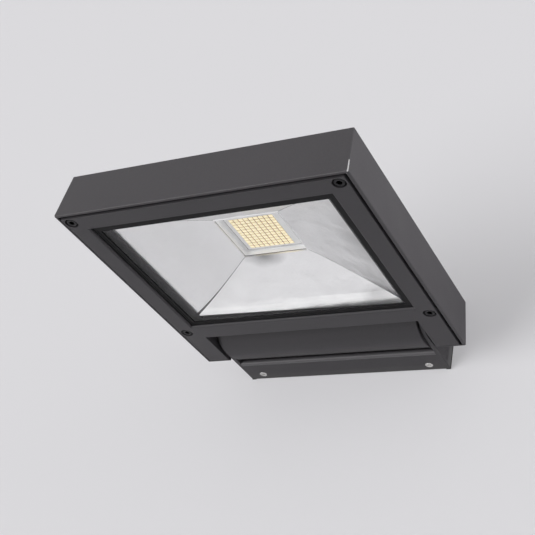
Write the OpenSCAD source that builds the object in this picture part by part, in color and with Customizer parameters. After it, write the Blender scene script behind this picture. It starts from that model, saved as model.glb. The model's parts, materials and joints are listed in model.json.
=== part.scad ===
// Wall floodlight: a shallow square lamp head on a barrel hinge between the cheeks of a wall box.
// Origin: middle of the wall bolt pattern, on the wall. The wall is the plane y = 0, the head points
// to -Y and its glass faces down at rest. +X is the right-hand end of the hinge seen from the front.

/* [Lamp head] */
// Distance from the wall to the front edge of the head
reach = 280; // [270:1:300]
// Width of the head
head_w = 250; // [244:1:280]
// Distance from the wall to the ends of the head's ears
ear_out = 39; // [34:0.5:42]
// Height of the head's side walls
head_h = 40.5; // [40:0.5:44]
// Inward lean of each side wall over the head's height
head_draft = 3; // [1:0.5:4]
// Thickness of the side walls at the ledge that carries the frame
wall_t = 9; // [8.5:0.5:11]
// Thickness of the wall round the hinge slot
slot_wall = 5; // [4.5:0.5:7]
// Thickness of the back wall
back_t = 3.2; // [2.5:0.1:4]
// Thickness of the raised rim round the front frame
rim_t = 2.4; // [1.5:0.1:3]
// Bevel on the outer edge of the rim
rim_bevel = 0.9; // [0.3:0.1:1.4]
// Depth of the ledge below the rim
recess_d = 6.5; // [6:0.1:8]

/* [Heat sink] */
// Number of fins
fin_count = 15; // [9:2:17]
// Distance from the head's side to the first fin
fin_side = 35.8; // [34:0.1:60]
// Thickness of a fin
fin_t = 2.4; // [1.5:0.1:3]
// Height of a fin above its base
fin_h = 14; // [6:0.5:18]
// Thickness of the heat sink's base
fin_base_t = 3; // [2:0.5:5]
// Distance of the fins from the front edge of the head
fin_front = 30; // [26:1:60]
// Distance of the fins from the hinge slot
fin_rear = 14; // [10:1:30]
// Distance from the ends of the heat sink to its screws
sink_screw_in = 25; // [20:1:40]

/* [Front frame] */
// Shadow gap between rim and frame
frame_gap = 1.8; // [1:0.1:2.5]
// Height that the frame's face stands proud of the rim
frame_proud = 1; // [0:0.1:1.4]
// Distance from the head's side to the window at the frame's face
window_side = 19.4; // [18:0.1:25]
// Distance from the head's front edge to the window
window_front = 19.5; // [18:0.1:25]
// Distance from the hinge slot to the window
window_rear = 17.8; // [17:0.1:25]
// Bevel round the window
window_bevel = 1.2; // [0.6:0.1:2]
// Thickness of the lip that holds the glass
lip_t = 2.4; // [2:0.1:3]
// Distance from the head's side to the axis of a frame screw
frame_screw_side = 10.6; // [10.2:0.1:11]
// Distance from the head's front edge to the front frame screws
frame_screw_front = 10.1; // [10:0.1:11]
// Distance from the hinge slot to the axes of the rear frame screws
frame_screw_rear = 10.1; // [9.5:0.1:11]
// Diameter of the counterbores
counterbore_d = 10.6; // [10:0.1:11]

/* [Glass] */
// Thickness of the glass
glass_t = 4; // [3:0.5:5]
// Width of the glass edge held behind the lip
glass_grip = 4; // [3:0.5:5]
// Gap round the edge of the glass
glass_gap = 0.8; // [0.4:0.1:1.2]
// Length of a glass clip along the edge
clip_l = 12; // [8:1:16]
// Thickness of a glass clip
clip_t = 1; // [0.8:0.1:1.5]
// Width of a glass clip across the edge
clip_w = 8.6; // [8:0.1:9]
// Distance of the side clips from the middle of the window
clip_side_off = 50; // [30:1:60]
// Distance of the front and rear clips from the middle of the window
clip_end_off = 62; // [40:1:70]

/* [Light source] */
// Distance from the middle of the window to the centre of the light source, towards the wall
led_off = 0; // [-2:0.5:2]
// Width of the circuit board
board_w = 72; // [70:1:80]
// Depth of the circuit board
board_d = 64; // [62:1:72]
// Thickness of the circuit board
board_t = 1.6; // [1:0.1:2]
// Thickness of the thermal pad behind the board
pad_t = 0.3; // [0.2:0.1:0.5]
// Extra depth of the board on the hinge side, where its wires are soldered
board_tail = 7; // [6:0.5:10]
// Number of chips across the board
chip_cols = 9; // [4:1:12]
// Number of chips along the board
chip_rows = 11; // [4:1:12]
// Distance between chip centres across the board
chip_pitch_x = 4.5; // [4:0.1:4.6]
// Distance between chip centres along the board
chip_pitch_y = 3.7; // [3.4:0.1:3.8]
// Width of one chip
chip_w = 3.5; // [2:0.1:3.6]
// Depth of one chip
chip_d = 2.8; // [2:0.1:3]
// Height of one chip
chip_h = 0.7; // [0.4:0.1:1]

/* [Reflector] */
// Width of the square neck round the light source
neck_w = 57; // [54:0.5:57]
// Depth of the square neck round the light source
neck_d = 49; // [46:0.5:49]
// Height of the neck walls
neck_h = 4.6; // [3:0.1:6]
// Distance from the window's side to the reflector's mouth
mouth_side = 8.6; // [6:0.1:15]
// Distance from the window's front edge to the reflector's mouth
mouth_front_in = 7.5; // [5:0.1:12]
// Distance from the window's rear edge to the reflector's mouth
mouth_rear_in = 0.7; // [0.7:0.1:5]
// Thickness of the reflector sheet
sheet_t = 0.8; // [0.5:0.1:1]
// Outward bulge of the reflector faces, as a curve exponent
flare = 1.15; // [1:0.05:1.4]
// Gap between the reflector's mouth and the glass
mouth_gap = 0.3; // [0.3:0.1:1]

/* [Hinge] */
// Distance from the wall to the hinge axis
hinge_out = 53; // [53:0.5:56]
// Height of the hinge axis above the head's rim
hinge_drop = 32; // [31.5:0.25:33]
// Radius of the hinge barrel
barrel_r = 34; // [33:0.5:34.5]
// Thickness of the barrel's wall
barrel_wall = 4; // [3.5:0.5:4.5]
// Thickness of the barrel's end walls
end_wall_t = 4.5; // [4:0.5:5.5]
// Gap between the end of the barrel and its cheek
end_gap = 0.5; // [0.3:0.1:1]
// Thickness of the seal under the barrel's cover
cover_seal_t = 1; // [0.6:0.1:1.5]
// Distance from the barrel's middle to the axis of a cover screw
cover_screw_x = 86.5; // [86:0.5:87]
// Distance from the hinge axis to the axis of a cover screw
cover_screw_y = 22; // [20:0.5:22.5]
// Radius of the rounded nose of the cheeks, which is also the wall box's depth below the axis
cheek_r = 31.5; // [30:0.5:32]
// Gap between the cheek noses and the slot in the head
swing_gap = 1; // [0.8:0.1:2]
// Thickness of a cheek
cheek_t = 4; // [3:0.5:5]
// Gap between a cheek and the ear beside it
side_gap = 2; // [1.6:0.1:3]
// Shank diameter of a pivot bolt
pivot_d = 6; // [5:0.5:6]
// Radial running clearance of a pivot bolt in its bush
pivot_play = 0.05; // [0.02:0.01:0.1]
// Outer radius of a pivot bush
bush_r = 5.5; // [5:0.5:6.5]
// Radius of the bush's flange
bush_flange_r = 8; // [7.5:0.5:10]
// Height of the neck between barrel and head, above the hinge axis
web_low = -14; // [-16:1:-8]
// Distance that the neck reaches over the barrel from the slot
web_reach = 16; // [10:1:20]

/* [Wall box] */
// Width of the wall box over its cheeks
box_w = 197; // [190:1:200]
// Height of the wall box above the hinge axis
box_top = 38; // [37.8:0.1:40]
// Thickness of the box's floor and roof
box_t = 3; // [2.5:0.1:3]
// Distance of the floor's front edge behind the hinge axis
floor_back = 23.4; // [23:0.2:26]
// Distance of the roof's front edge behind the hinge axis
roof_back = 10; // [10:0.2:14]
// Bevel on the front edge of the floor
lip_bevel = 1; // [0.5:0.1:1.5]
// Distance from the middle to a box screw
box_screw_x = 82; // [76:0.5:84]
// Distance from the wall to a box screw
box_screw_y = 9.3; // [8.5:0.1:9.5]
// Thickness of the foam seal against the wall
seal_t = 1; // [0.5:0.1:2]
// Width of the foam seal
seal_w = 4; // [3:0.5:4]

/* [Wall plate] */
// Width of the wall plate
plate_w = 182; // [176:1:184]
// Thickness of the wall plate
plate_t = 3; // [2.5:0.1:3]
// Distance from the middle to a wall bolt hole
wall_bolt_x = 60; // [50:1:66]
// Diameter of the wall bolt holes
wall_bolt_d = 6.5; // [5:0.5:8]
// Width of the plate's tabs
tab_w = 16; // [12:1:18]
// Depth of the plate's tabs from the wall
tab_d = 15; // [14:0.5:16]
// Clearance between the plate's tabs and the box
tab_gap = 0.3; // [0.2:0.1:0.4]
// Diameter of the cable hole in the plate
plate_hole_d = 18; // [16:1:20]
// Diameter of the cable
cable_d = 8; // [6:0.5:9]

/* [Driver bay] */
// Distance from the middle of the barrel to the middle of the driver
driver_x = -12; // [-12:0.5:-10]
// Length of the driver's case
driver_l = 100; // [90:1:100]
// Width of the driver's case
driver_w = 36; // [30:1:40]
// Height of the driver's case
driver_h = 26; // [20:1:28]
// Length of each of the driver's feet
foot_l = 8; // [7:0.5:8]
// Thickness of the driver's feet
foot_t = 3; // [2:0.5:4]
// Thickness of the driver tray
tray_t = 1.5; // [1:0.1:2]
// Height of the tray's top face from the hinge axis
tray_z = -13; // [-14:0.5:-12]
// Width of the tray
tray_w = 51; // [50:0.5:51]
// Length of the terminal block
terminal_l = 16; // [12:1:16]
// Width of the terminal block
terminal_w = 28; // [24:1:30]
// Height of the terminal block
terminal_h = 16; // [12:1:18]
// Space between driver and terminal block
terminal_gap = 10; // [9:0.5:11]
// Distance from the barrel's middle to the middle of the cord clamp
clamp_x = 72; // [71:0.5:73]
// Distance from the barrel's middle to the cable entry
entry_x = 58; // [50:1:60]
// Angle of the cable entry above the line to the wall
entry_angle = 60; // [58:0.5:61]
// Distance from the barrel's middle to the passage for the light source's wires
passage_x = -71; // [-72:0.5:-70.5]
// Diameter of the passage
passage_d = 9; // [8:0.5:10]

/* [Hidden] */
$fn = 48;
// Overlap that keeps cuts and joins clean
eps = 0.5;
// Radial clearance between a screw and its hole
thread_gap = 0.1;
// Radial clearance of a rubber plug in its hole
press_gap = 0.05;

// Levels and outlines of the head
rim_z = -hinge_drop;
ledge_z = rim_z + recess_d;
back_z = rim_z + head_h;
inner_z = back_z - back_t;
head_y0 = -reach;
head_y1 = -ear_out;
hinge_y = -hinge_out;
slot_y = hinge_y - cheek_r - swing_gap;
slot_half = box_w / 2 + side_gap;
frame_inset = rim_t + frame_gap;
face_z = rim_z - frame_proud;
fin_base_z = back_z + fin_base_t;
fin_span = head_w - 2 * fin_side;
fin_pitch = (fin_span - fin_t) / (fin_count - 1);
fin_y0 = head_y0 + fin_front;
fin_y1 = slot_y - fin_rear;

// Screws that pass between the outer fins into bosses under the back wall
sink_screw_x = (fin_span - fin_t - fin_pitch) / 2;
sink_boss_r = 4.5;
sink_boss_h = 5;
sink_head_r = 3.5;
sink_head_h = 2.4;
sink_skin = 1;
sink_screw_spots = [for (sx = [-1, 1], y = [fin_y0 + sink_screw_in, fin_y1 - sink_screw_in])
    [sx * sink_screw_x, y]];

// Vent in the back wall, beside the fins
vent_r = 6;
vent_side = 11;
vent_x = -(fin_span / 2 + vent_side);
vent_y = slot_y - 30;
vent_head_r = 8;
vent_head_h = 5;

// Cord seal between housing and frame
cord_w = 2;
cord_h = 2;
cord_play = 0.1;
cord_inset = frame_inset + 2;

// M5 screws that hold the frame
frame_screw_d = 5;
frame_head_d = 8.5;
frame_head_h = 5;
frame_hex = 4;
frame_seat_t = 2;
frame_screw_l = 12.5;
boss_r = 6.4;
frame_screw_spots = [for (s = [-1, 1], y = [head_y0 + frame_screw_front, slot_y - frame_screw_rear])
    [s * (head_w / 2 - frame_screw_side), y]];

// Glass and its clips
window_w = head_w - 2 * window_side;
window_y0 = head_y0 + window_front;
window_y1 = slot_y - window_rear;
window_d = window_y1 - window_y0;
window_y = (window_y0 + window_y1) / 2;
glass_x = window_w / 2 + glass_grip;
glass_y = window_d / 2 + glass_grip;
glass_z1 = ledge_z - glass_t;
glass_z2 = glass_z1 + glass_t;
pocket_x = glass_x + glass_gap;
pocket_y = glass_y + glass_gap;
ring_in = 0.4;
clip_reach = 2.6;
clip_hole_in = 2.9;
clip_hole = glass_gap + clip_hole_in;
m3_r = 1.5;
m3_head_r = 2.75;
pan_r = 2.6;
m3_head_h = 1.8;
clip_screw_l = 5.6;
clip_thread = 5;
// Each clip: middle of the glass edge that it holds, and its turn about the vertical
clip_spots = concat(
    [for (s = [-1, 1], o = [-1, 1]) [s * glass_x, window_y + o * clip_side_off, s > 0 ? 0 : 180]],
    [for (s = [-1, 1], o = [-1, 1]) [o * clip_end_off, window_y + s * glass_y, s > 0 ? 90 : -90]]);

// Light source, from the back wall downwards
led_y = window_y + led_off;
board_z2 = inner_z - pad_t;
board_z1 = board_z2 - board_t;
flange_z1 = board_z1 - sheet_t;
neck_z = flange_z1 - neck_h;
mouth_z = glass_z2 + mouth_gap;
board_screw_in = 4.2;
board_screw_x = board_w / 2 - board_screw_in;
board_screw_y = board_d / 2 - board_screw_in;
board_thread = 5;
flare_steps = 8;
mouth_half = window_w / 2 - mouth_side;
mouth_front = led_y - window_y0 - mouth_front_in;
mouth_rear = window_y1 - mouth_rear_in - led_y;
board_screw_spots = [for (sx = [-1, 1], sy = [-1, 1]) [sx * board_screw_x, led_y + sy * board_screw_y]];

// Barrel: a trough that is part of the head, closed by a half-round cover above cover_z
bore_r = barrel_r - barrel_wall;
barrel_half = box_w / 2 - cheek_t - end_gap;
tube_half = barrel_half - end_wall_t;
cover_z = back_z + cover_seal_t;
cover_screw_r = 2;
cover_head_r = 3.5;
cover_head_h = 4;
cover_head_gap = 0.3;
cover_hex = 3;
cover_post_r = 5.5;
cover_boss_r = 4.5;
cover_boss_l = 16;
cover_seat_t = 6.5;
cover_seat_z = cover_z + cover_seat_t;
cover_screw_l = 14;
cover_screw_spots = [for (sx = [-1, 1], sy = [-1, 1]) [sx * cover_screw_x, hinge_y + sy * cover_screw_y]];
seal_inset = 0.4;

// Pivot bolts, bushes and washers
ear_x = slot_half + slot_wall;
bolt_head_r = 5;
bolt_head_h = 6;
washer_t = 1.6;
bolt_head_x = tube_half - washer_t;
bolt_hole_end = ear_x - 1;
bolt_end = bolt_hole_end - 0.5;
bolt_hex = 5;
bush_gap = 0.3;
bush_face = slot_half - bush_gap;

// Cable entry in the barrel: a flat seat for the grommet
entry_r = cable_d / 2 + 2.5;
entry_flange_r = cable_d / 2 + 5;
entry_flange_t = 1.5;
entry_seat = sqrt(barrel_r * barrel_r - entry_flange_r * entry_flange_r) - entry_flange_t;

// Driver tray and what stands on it
tray_half = cover_screw_x - cover_boss_r - 0.5;
rail_t = 3;
rail_y1 = tray_w / 2 - 6;
rail_y2 = tray_w / 2 + 2;
driver_x0 = driver_x - driver_l / 2;
driver_x1 = driver_x + driver_l / 2;
foot_spots = [driver_x0 - foot_l / 2, driver_x1 + foot_l / 2];
terminal_x0 = driver_x1 + terminal_gap;
terminal_x1 = terminal_x0 + terminal_l;
terminal_mid = (terminal_x0 + terminal_x1) / 2;
clamp_l = 9;
clamp_w = 30;
clamp_h = cable_d + 3;
clamp_screw_y = 10;
tray_screw_in = 10;
tray_screw_edge = 3;
tray_screw_spots = [for (sx = [-1, 1], sy = [-1, 1])
    [sx * (tray_half - tray_screw_in), hinge_y + sy * (tray_w / 2 - tray_screw_edge)]];
supply_z = tray_z + 8;
supply_r = 1.2;
supply_pitch = 8;
terminal_bore_r = 1.8;
terminal_key_r = 1.6;
terminal_back = 6;
terminal_key_x = 9;
terminal_thread = 4;

// Two wires from the driver to the board, with route points at their middle
wire_r = 1;
wire_off = 2;
passage_z = 0;
plug_l = 8;
plug_flange_t = 1.2;
plug_lip = 0.3;
wire_bend = 6;
solder_y = led_y + board_d / 2 + board_tail / 2;
solder_x = -board_w / 2 + 6;
wire_z = board_z1 - wire_r;

// Wall box and plate
box_y = -seal_t;
roof_z1 = box_top - box_t;
floor_z2 = -cheek_r + box_t;
tab_low_z = floor_z2 + tab_gap;
hook_t = 2.5;
hook_up = 2.8;
hook_gap = 0.5;
tab_high_z = roof_z1 - tab_gap - hook_up;
m4_r = 2;
screw_hole_r = m4_r + 0.2;
box_screw_proud = 0.4;
box_screw_head_r = 3.4;
box_screw_head_h = 2;
box_screw_hex = 2.5;
box_screw_l = 9;
box_screw_seat = -cheek_r + box_screw_head_h - box_screw_proud;
wall_flange_r = plate_hole_d / 2 + 2;
wall_flange_t = 2;
earth_x = 30;
earth_z = -12;
earth_head_r = 4;
earth_head_h = 2.6;

paint = [0.24, 0.24, 0.25];
dark_paint = [0.2, 0.2, 0.21];
steel = [0.72, 0.72, 0.74];
black_rubber = [0.06, 0.06, 0.06];

// Block between two limits on each axis
module block(x, y, z) {
    translate([x[0], y[0], z[0]])
        cube([x[1] - x[0], y[1] - y[0], z[1] - z[0]]);
}

// Solid round bar along X between two limits
module bar_x(r, x, y = 0, z = 0) {
    translate([x[0], y, z])
        rotate([0, 90, 0])
            cylinder(r = r, h = x[1] - x[0]);
}

// Solid round bar along Y between two limits
module bar_y(r, y, x = 0, z = 0) {
    translate([x, y[1], z])
        rotate([90, 0, 0])
            cylinder(r = r, h = y[1] - y[0]);
}

// Solid round bar along Z between two limits
module bar_z(r, z, x = 0, y = 0) {
    translate([x, y, z[0]])
        cylinder(r = r, h = z[1] - z[0]);
}

// Profile in X and Z, extruded along Y between two limits
module prism_y(points, y) {
    translate([0, y[1], 0])
        rotate([90, 0, 0])
            linear_extrude(y[1] - y[0])
                polygon(points);
}

// Profile in Y and Z, extruded along X between two limits
module prism_x(points, x) {
    translate([x[0], 0, 0])
        rotate([90, 0, 90])
            linear_extrude(x[1] - x[0])
                polygon(points);
}

// Plan of the head with its hinge slot, drawn in by one amount at the sides and one at the slot
function plan(side, slot) = [
    [-head_w / 2 + side, head_y0 + side],
    [head_w / 2 - side, head_y0 + side],
    [head_w / 2 - side, head_y1 - side],
    [slot_half + slot, head_y1 - side],
    [slot_half + slot, slot_y - slot],
    [-slot_half - slot, slot_y - slot],
    [-slot_half - slot, head_y1 - side],
    [-head_w / 2 + side, head_y1 - side]];

module plan_block(side, slot, z) {
    translate([0, 0, z[0]])
        linear_extrude(z[1] - z[0])
            polygon(plan(side, slot));
}

// Hexagon prism along Z, its size given across the flats
module hex_z(flats, z, x = 0, y = 0) {
    translate([x, y, z[0]])
        cylinder(d = flats / cos(30), h = z[1] - z[0], $fn = 6);
}

// Side of the head from rim to back: bevel at the rim, then a wall that leans in
function lean_side(lo, hi) = [
    [lo + rim_bevel, rim_z], [hi - rim_bevel, rim_z], [hi, rim_z + rim_bevel],
    [hi - head_draft, back_z], [lo + head_draft, back_z], [lo, rim_z + rim_bevel]];

module head_block() {
    difference() {
        intersection() {
            prism_y(lean_side(-head_w / 2, head_w / 2), [head_y0 - eps, head_y1 + eps]);
            prism_x(lean_side(head_y0, head_y1), [-head_w / 2 - eps, head_w / 2 + eps]);
        }
        block([-slot_half, slot_half], [slot_y, head_y1 + eps], [rim_z - eps, back_z + eps]);
    }
}

// Bosses in the trough that take the cover screws, and rails that carry the tray
module barrel_fittings() {
    for (p = cover_screw_spots) {
        bar_z(cover_boss_r, [back_z - cover_boss_l, back_z], p[0], p[1]);
    }
    for (s = [-1, 1]) {
        y = [for (edge = s > 0 ? [rail_y1, rail_y2] : [-rail_y2, -rail_y1]) hinge_y + edge];
        block([-tray_half, tray_half], y, [tray_z - tray_t - rail_t, tray_z - tray_t]);
    }
}

// Space above the joint between trough and cover
module barrel_top() {
    block([-barrel_half - eps, barrel_half + eps], [hinge_y - barrel_r - eps, hinge_y + barrel_r + eps],
        [back_z, barrel_r + eps]);
}

module housing_body() {
    difference() {
        union() {
            head_block();
            bar_x(barrel_r, [-barrel_half, barrel_half], hinge_y, 0);
            block([-barrel_half, barrel_half], [slot_y - eps, slot_y + web_reach], [web_low, back_z]);
        }
        plan_block(rim_t, -eps, [rim_z - eps, ledge_z]);
        plan_block(wall_t, slot_wall, [ledge_z - eps, inner_z]);
        bar_x(bore_r, [-tube_half, tube_half], hinge_y, 0);
        barrel_top();
    }
    barrel_fittings();
    for (p = sink_screw_spots) {
        bar_z(sink_boss_r, [inner_z - sink_boss_h, inner_z + eps], p[0], p[1]);
    }
    intersection() {
        union() {
            for (p = frame_screw_spots) {
                bar_z(boss_r, [ledge_z, inner_z + eps], p[0], p[1]);
            }
        }
        plan_block(rim_t + eps, slot_wall / 2, [ledge_z, inner_z + eps]);
    }
}

// Turns its children so that +Z points out of the barrel at the cable entry
module at_entry() {
    translate([entry_x, hinge_y, 0])
        rotate([entry_angle - 90, 0, 0])
            children();
}

// Plan of the cord seal's groove, a given way in from its outer edge
module cord_plan(way_in, z) {
    plan_block(cord_inset - cord_w / 2 + way_in, (slot_wall - cord_w) / 2 + way_in, z);
}

module lamp_housing() {
    color(paint) difference() {
        housing_body();
        difference() {
            cord_plan(0, [ledge_z - eps, ledge_z + cord_h]);
            cord_plan(cord_w, [ledge_z - 2 * eps, ledge_z + cord_h + eps]);
        }
        for (p = frame_screw_spots) {
            bar_z(frame_screw_d / 2 + thread_gap, [ledge_z - eps, ledge_z + frame_screw_l], p[0], p[1]);
        }
        for (p = board_screw_spots) {
            bar_z(m3_r + thread_gap, [inner_z - eps, inner_z + board_thread], p[0], p[1]);
        }
        for (p = sink_screw_spots) {
            bar_z(m4_r + thread_gap, [inner_z - sink_boss_h + sink_skin, back_z + eps], p[0], p[1]);
        }
        for (p = cover_screw_spots) {
            bar_z(cover_screw_r + thread_gap, [cover_seat_z - cover_screw_l - 1, back_z + eps], p[0], p[1]);
        }
        for (s = [0, 1]) {
            mirror([s, 0, 0])
                bar_x(pivot_d / 2 + thread_gap, [tube_half - eps, bolt_hole_end], hinge_y, 0);
        }
        bar_y(passage_d / 2, [slot_y - slot_wall - eps, hinge_y - bore_r + barrel_wall],
            passage_x, passage_z);
        bar_z(vent_r + thread_gap, [inner_z - eps, back_z + eps], vent_x, vent_y);
        for (p = tray_screw_spots) {
            bar_z(m3_r + thread_gap, [tray_z - tray_t - rail_t - eps, tray_z], p[0], p[1]);
        }
    }
}

// Frame of the window: a block whose mouth is wider at the frame's face
module window_cut() {
    straight_w = window_w / 2 - window_bevel;
    straight_d = window_d / 2 - window_bevel;
    intersection() {
        prism_y([[-straight_w, ledge_z + eps], [-straight_w, face_z + window_bevel],
            [-window_w / 2 - eps, face_z - eps], [window_w / 2 + eps, face_z - eps],
            [straight_w, face_z + window_bevel], [straight_w, ledge_z + eps]],
            [window_y0 - 2, window_y1 + 2]);
        translate([0, window_y, 0])
            prism_x([[-straight_d, ledge_z + eps], [-straight_d, face_z + window_bevel],
                [-window_d / 2 - eps, face_z - eps], [window_d / 2 + eps, face_z - eps],
                [straight_d, face_z + window_bevel], [straight_d, ledge_z + eps]],
                [-window_w / 2 - 2, window_w / 2 + 2]);
    }
}

module front_frame() {
    color(dark_paint) difference() {
        plan_block(frame_inset, 0, [face_z, ledge_z]);
        window_cut();
        block([-pocket_x, pocket_x], [window_y - pocket_y, window_y + pocket_y],
            [face_z + lip_t, ledge_z + eps]);
        for (p = frame_screw_spots) {
            bar_z(counterbore_d / 2, [face_z - eps, ledge_z - frame_seat_t], p[0], p[1]);
            bar_z(frame_screw_d / 2 + thread_gap, [face_z, ledge_z + eps], p[0], p[1]);
        }
        for (c = clip_spots) {
            translate([c[0], c[1], 0])
                rotate([0, 0, c[2]])
                    bar_z(m3_r + thread_gap, [ledge_z - clip_thread, ledge_z + eps], clip_hole);
        }
    }
}

// Socket screw that points up, with its head seat at z
module socket_screw(r, head_r, head_h, length, flats, z, x, y) {
    difference() {
        union() {
            bar_z(head_r, [z - head_h, z], x, y);
            bar_z(r, [z - eps, z + length], x, y);
        }
        hex_z(flats, [z - head_h - eps, z - head_h / 2], x, y);
    }
}

module frame_screws() {
    color(steel) for (p = frame_screw_spots) {
        socket_screw(frame_screw_d / 2, frame_head_d / 2, frame_head_h, frame_screw_l, frame_hex,
            ledge_z - frame_seat_t, p[0], p[1]);
    }
}

module frame_gasket() {
    color(black_rubber) difference() {
        cord_plan(cord_play, [ledge_z, ledge_z + cord_h]);
        cord_plan(cord_w - cord_play, [ledge_z - eps, ledge_z + cord_h + eps]);
    }
}

module glass_pane() {
    color([0.75, 0.8, 0.82, 0.35])
        block([-glass_x, glass_x], [window_y - glass_y, window_y + glass_y], [glass_z1, glass_z2]);
}

module glass_gasket() {
    ring_x = window_w / 2 + ring_in;
    ring_y = window_d / 2 + ring_in;
    color(black_rubber) difference() {
        block([-glass_x, glass_x], [window_y - glass_y, window_y + glass_y], [face_z + lip_t, glass_z1]);
        block([-ring_x, ring_x], [window_y - ring_y, window_y + ring_y], [face_z, ledge_z]);
    }
}

// One clip lies on the glass and on the frame, with its hole over the frame
module glass_clips() {
    color(steel) for (c = clip_spots) {
        translate([c[0], c[1], 0])
            rotate([0, 0, c[2]])
                difference() {
                    block([-clip_reach, clip_w - clip_reach], [-clip_l / 2, clip_l / 2],
                        [ledge_z, ledge_z + clip_t]);
                    bar_z(m3_r + thread_gap, [ledge_z - eps, ledge_z + clip_t + eps], clip_hole);
                }
    }
}

// Round-headed screw that points down, with its head seat at z
module pan_screw_down(r, head_r, head_h, length, z, x, y) {
    bar_z(head_r, [z, z + head_h], x, y);
    bar_z(r, [z - length, z + eps], x, y);
}

module clip_screws() {
    color(steel) for (c = clip_spots) {
        translate([c[0], c[1], 0])
            rotate([0, 0, c[2]])
                pan_screw_down(m3_r, pan_r, m3_head_h, clip_screw_l, ledge_z + clip_t, clip_hole, 0);
    }
}

// Half-width of the reflector at a share t of the way from neck to mouth
function flare_half(near, far, t) = near + (far - near) * pow(t, 1 / flare);
function flare_z(t) = neck_z + (mouth_z - neck_z) * t;

// Closed profile of the reflector's hollow, lo and hi being the far limits at the mouth
function hollow(near, lo, hi, add) = concat(
    [[near + add, flange_z1 + (add > 0 ? eps : 2 * eps)]],
    [for (i = [0 : flare_steps])
        [flare_half(near, hi, i / flare_steps) + add, flare_z(i / flare_steps)]],
    [if (add == 0) [hi, mouth_z - eps]],
    [if (add == 0) [-lo, mouth_z - eps]],
    [for (i = [flare_steps : -1 : 0])
        [-flare_half(near, lo, i / flare_steps) - add, flare_z(i / flare_steps)]],
    [[-near - add, flange_z1 + (add > 0 ? eps : 2 * eps)]]);

module reflector_shape(add) {
    intersection() {
        prism_y(hollow(neck_w / 2, mouth_half, mouth_half, add),
            [led_y - mouth_front - 5, led_y + mouth_rear + 5]);
        translate([0, led_y, 0])
            prism_x(hollow(neck_d / 2, mouth_front, mouth_rear, add),
                [-mouth_half - 5, mouth_half + 5]);
    }
}

module reflector() {
    color([0.86, 0.87, 0.88]) difference() {
        union() {
            reflector_shape(sheet_t);
            block([-board_w / 2, board_w / 2], [led_y - board_d / 2, led_y + board_d / 2],
                [flange_z1, board_z1]);
        }
        reflector_shape(0);
        block([-neck_w / 2, neck_w / 2], [led_y - neck_d / 2, led_y + neck_d / 2], [neck_z, board_z1 + eps]);
        for (p = board_screw_spots) {
            bar_z(m3_r + thread_gap, [flange_z1 - eps, board_z1 + eps], p[0], p[1]);
        }
    }
}

module led_board() {
    color([0.92, 0.92, 0.9]) difference() {
        block([-board_w / 2, board_w / 2], [led_y - board_d / 2, led_y + board_d / 2 + board_tail],
            [board_z1, board_z2]);
        for (p = board_screw_spots) {
            bar_z(m3_r + thread_gap, [board_z1 - eps, board_z2 + eps], p[0], p[1]);
        }
    }
}

module led_chips() {
    color([0.95, 0.82, 0.4]) for (i = [0 : chip_cols - 1], j = [0 : chip_rows - 1]) {
        x = (i - (chip_cols - 1) / 2) * chip_pitch_x;
        y = led_y + (j - (chip_rows - 1) / 2) * chip_pitch_y;
        block([x - chip_w / 2, x + chip_w / 2], [y - chip_d / 2, y + chip_d / 2],
            [board_z1 - chip_h, board_z1]);
    }
}

module thermal_pad() {
    color([0.5, 0.55, 0.6]) difference() {
        block([-board_w / 2, board_w / 2], [led_y - board_d / 2, led_y + board_d / 2], [board_z2, inner_z]);
        for (p = board_screw_spots) {
            bar_z(m3_r + 0.5, [board_z2 - eps, inner_z + eps], p[0], p[1]);
        }
    }
}

module board_screws() {
    color(steel) for (p = board_screw_spots) {
        bar_z(m3_head_r, [flange_z1 - m3_head_h, flange_z1], p[0], p[1]);
        bar_z(m3_r, [flange_z1 - eps, inner_z + board_thread - eps], p[0], p[1]);
    }
}

// Finned plate on the back of the head; the board's screws end in it
module heat_sink() {
    color(dark_paint) difference() {
        union() {
            block([-fin_span / 2, fin_span / 2], [fin_y0, fin_y1], [back_z, fin_base_z]);
            for (i = [0 : fin_count - 1]) {
                x = (i - (fin_count - 1) / 2) * fin_pitch;
                block([x - fin_t / 2, x + fin_t / 2], [fin_y0, fin_y1],
                    [fin_base_z - eps, fin_base_z + fin_h]);
            }
        }
        for (p = board_screw_spots) {
            bar_z(m3_r + thread_gap, [back_z - eps, inner_z + board_thread], p[0], p[1]);
        }
        for (p = sink_screw_spots) {
            bar_z(m4_r + thread_gap, [back_z - eps, fin_base_z + eps], p[0], p[1]);
        }
    }
}

module sink_screws() {
    shank = fin_base_z - inner_z + sink_boss_h - 2 * sink_skin;
    color(steel) for (p = sink_screw_spots) {
        pan_screw_down(m4_r, sink_head_r, sink_head_h, shank, fin_base_z, p[0], p[1]);
    }
}

// Route of one of the two wires; off shifts it sideways within the bend
function wire_route(off) = concat(
    [[driver_x0, hinge_y - off, passage_z]],
    [for (a = [0 : 30 : 90])
        [passage_x + wire_bend - (wire_bend - off) * sin(a),
            hinge_y - wire_bend + (wire_bend - off) * cos(a), passage_z]],
    [[passage_x + off, slot_y - slot_wall - 4, passage_z],
    [passage_x + off + 1, slot_y - slot_wall - 10, passage_z + 0.6],
    [passage_x + off + 6, slot_y - slot_wall - 18, wire_z - 0.4],
    [solder_x - 14 + off, solder_y + 14, wire_z],
    [solder_x - 4 + off, solder_y + 3, wire_z],
    [solder_x + 1 + 1.5 * off, solder_y, wire_z]]);

function unit(v) = v / norm(v);
function wire_dir(route, i) = i == 0 ? unit(route[1] - route[0])
    : i == len(route) - 1 ? unit(route[i] - route[i - 1])
    : unit(unit(route[i] - route[i - 1]) + unit(route[i + 1] - route[i]));

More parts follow.
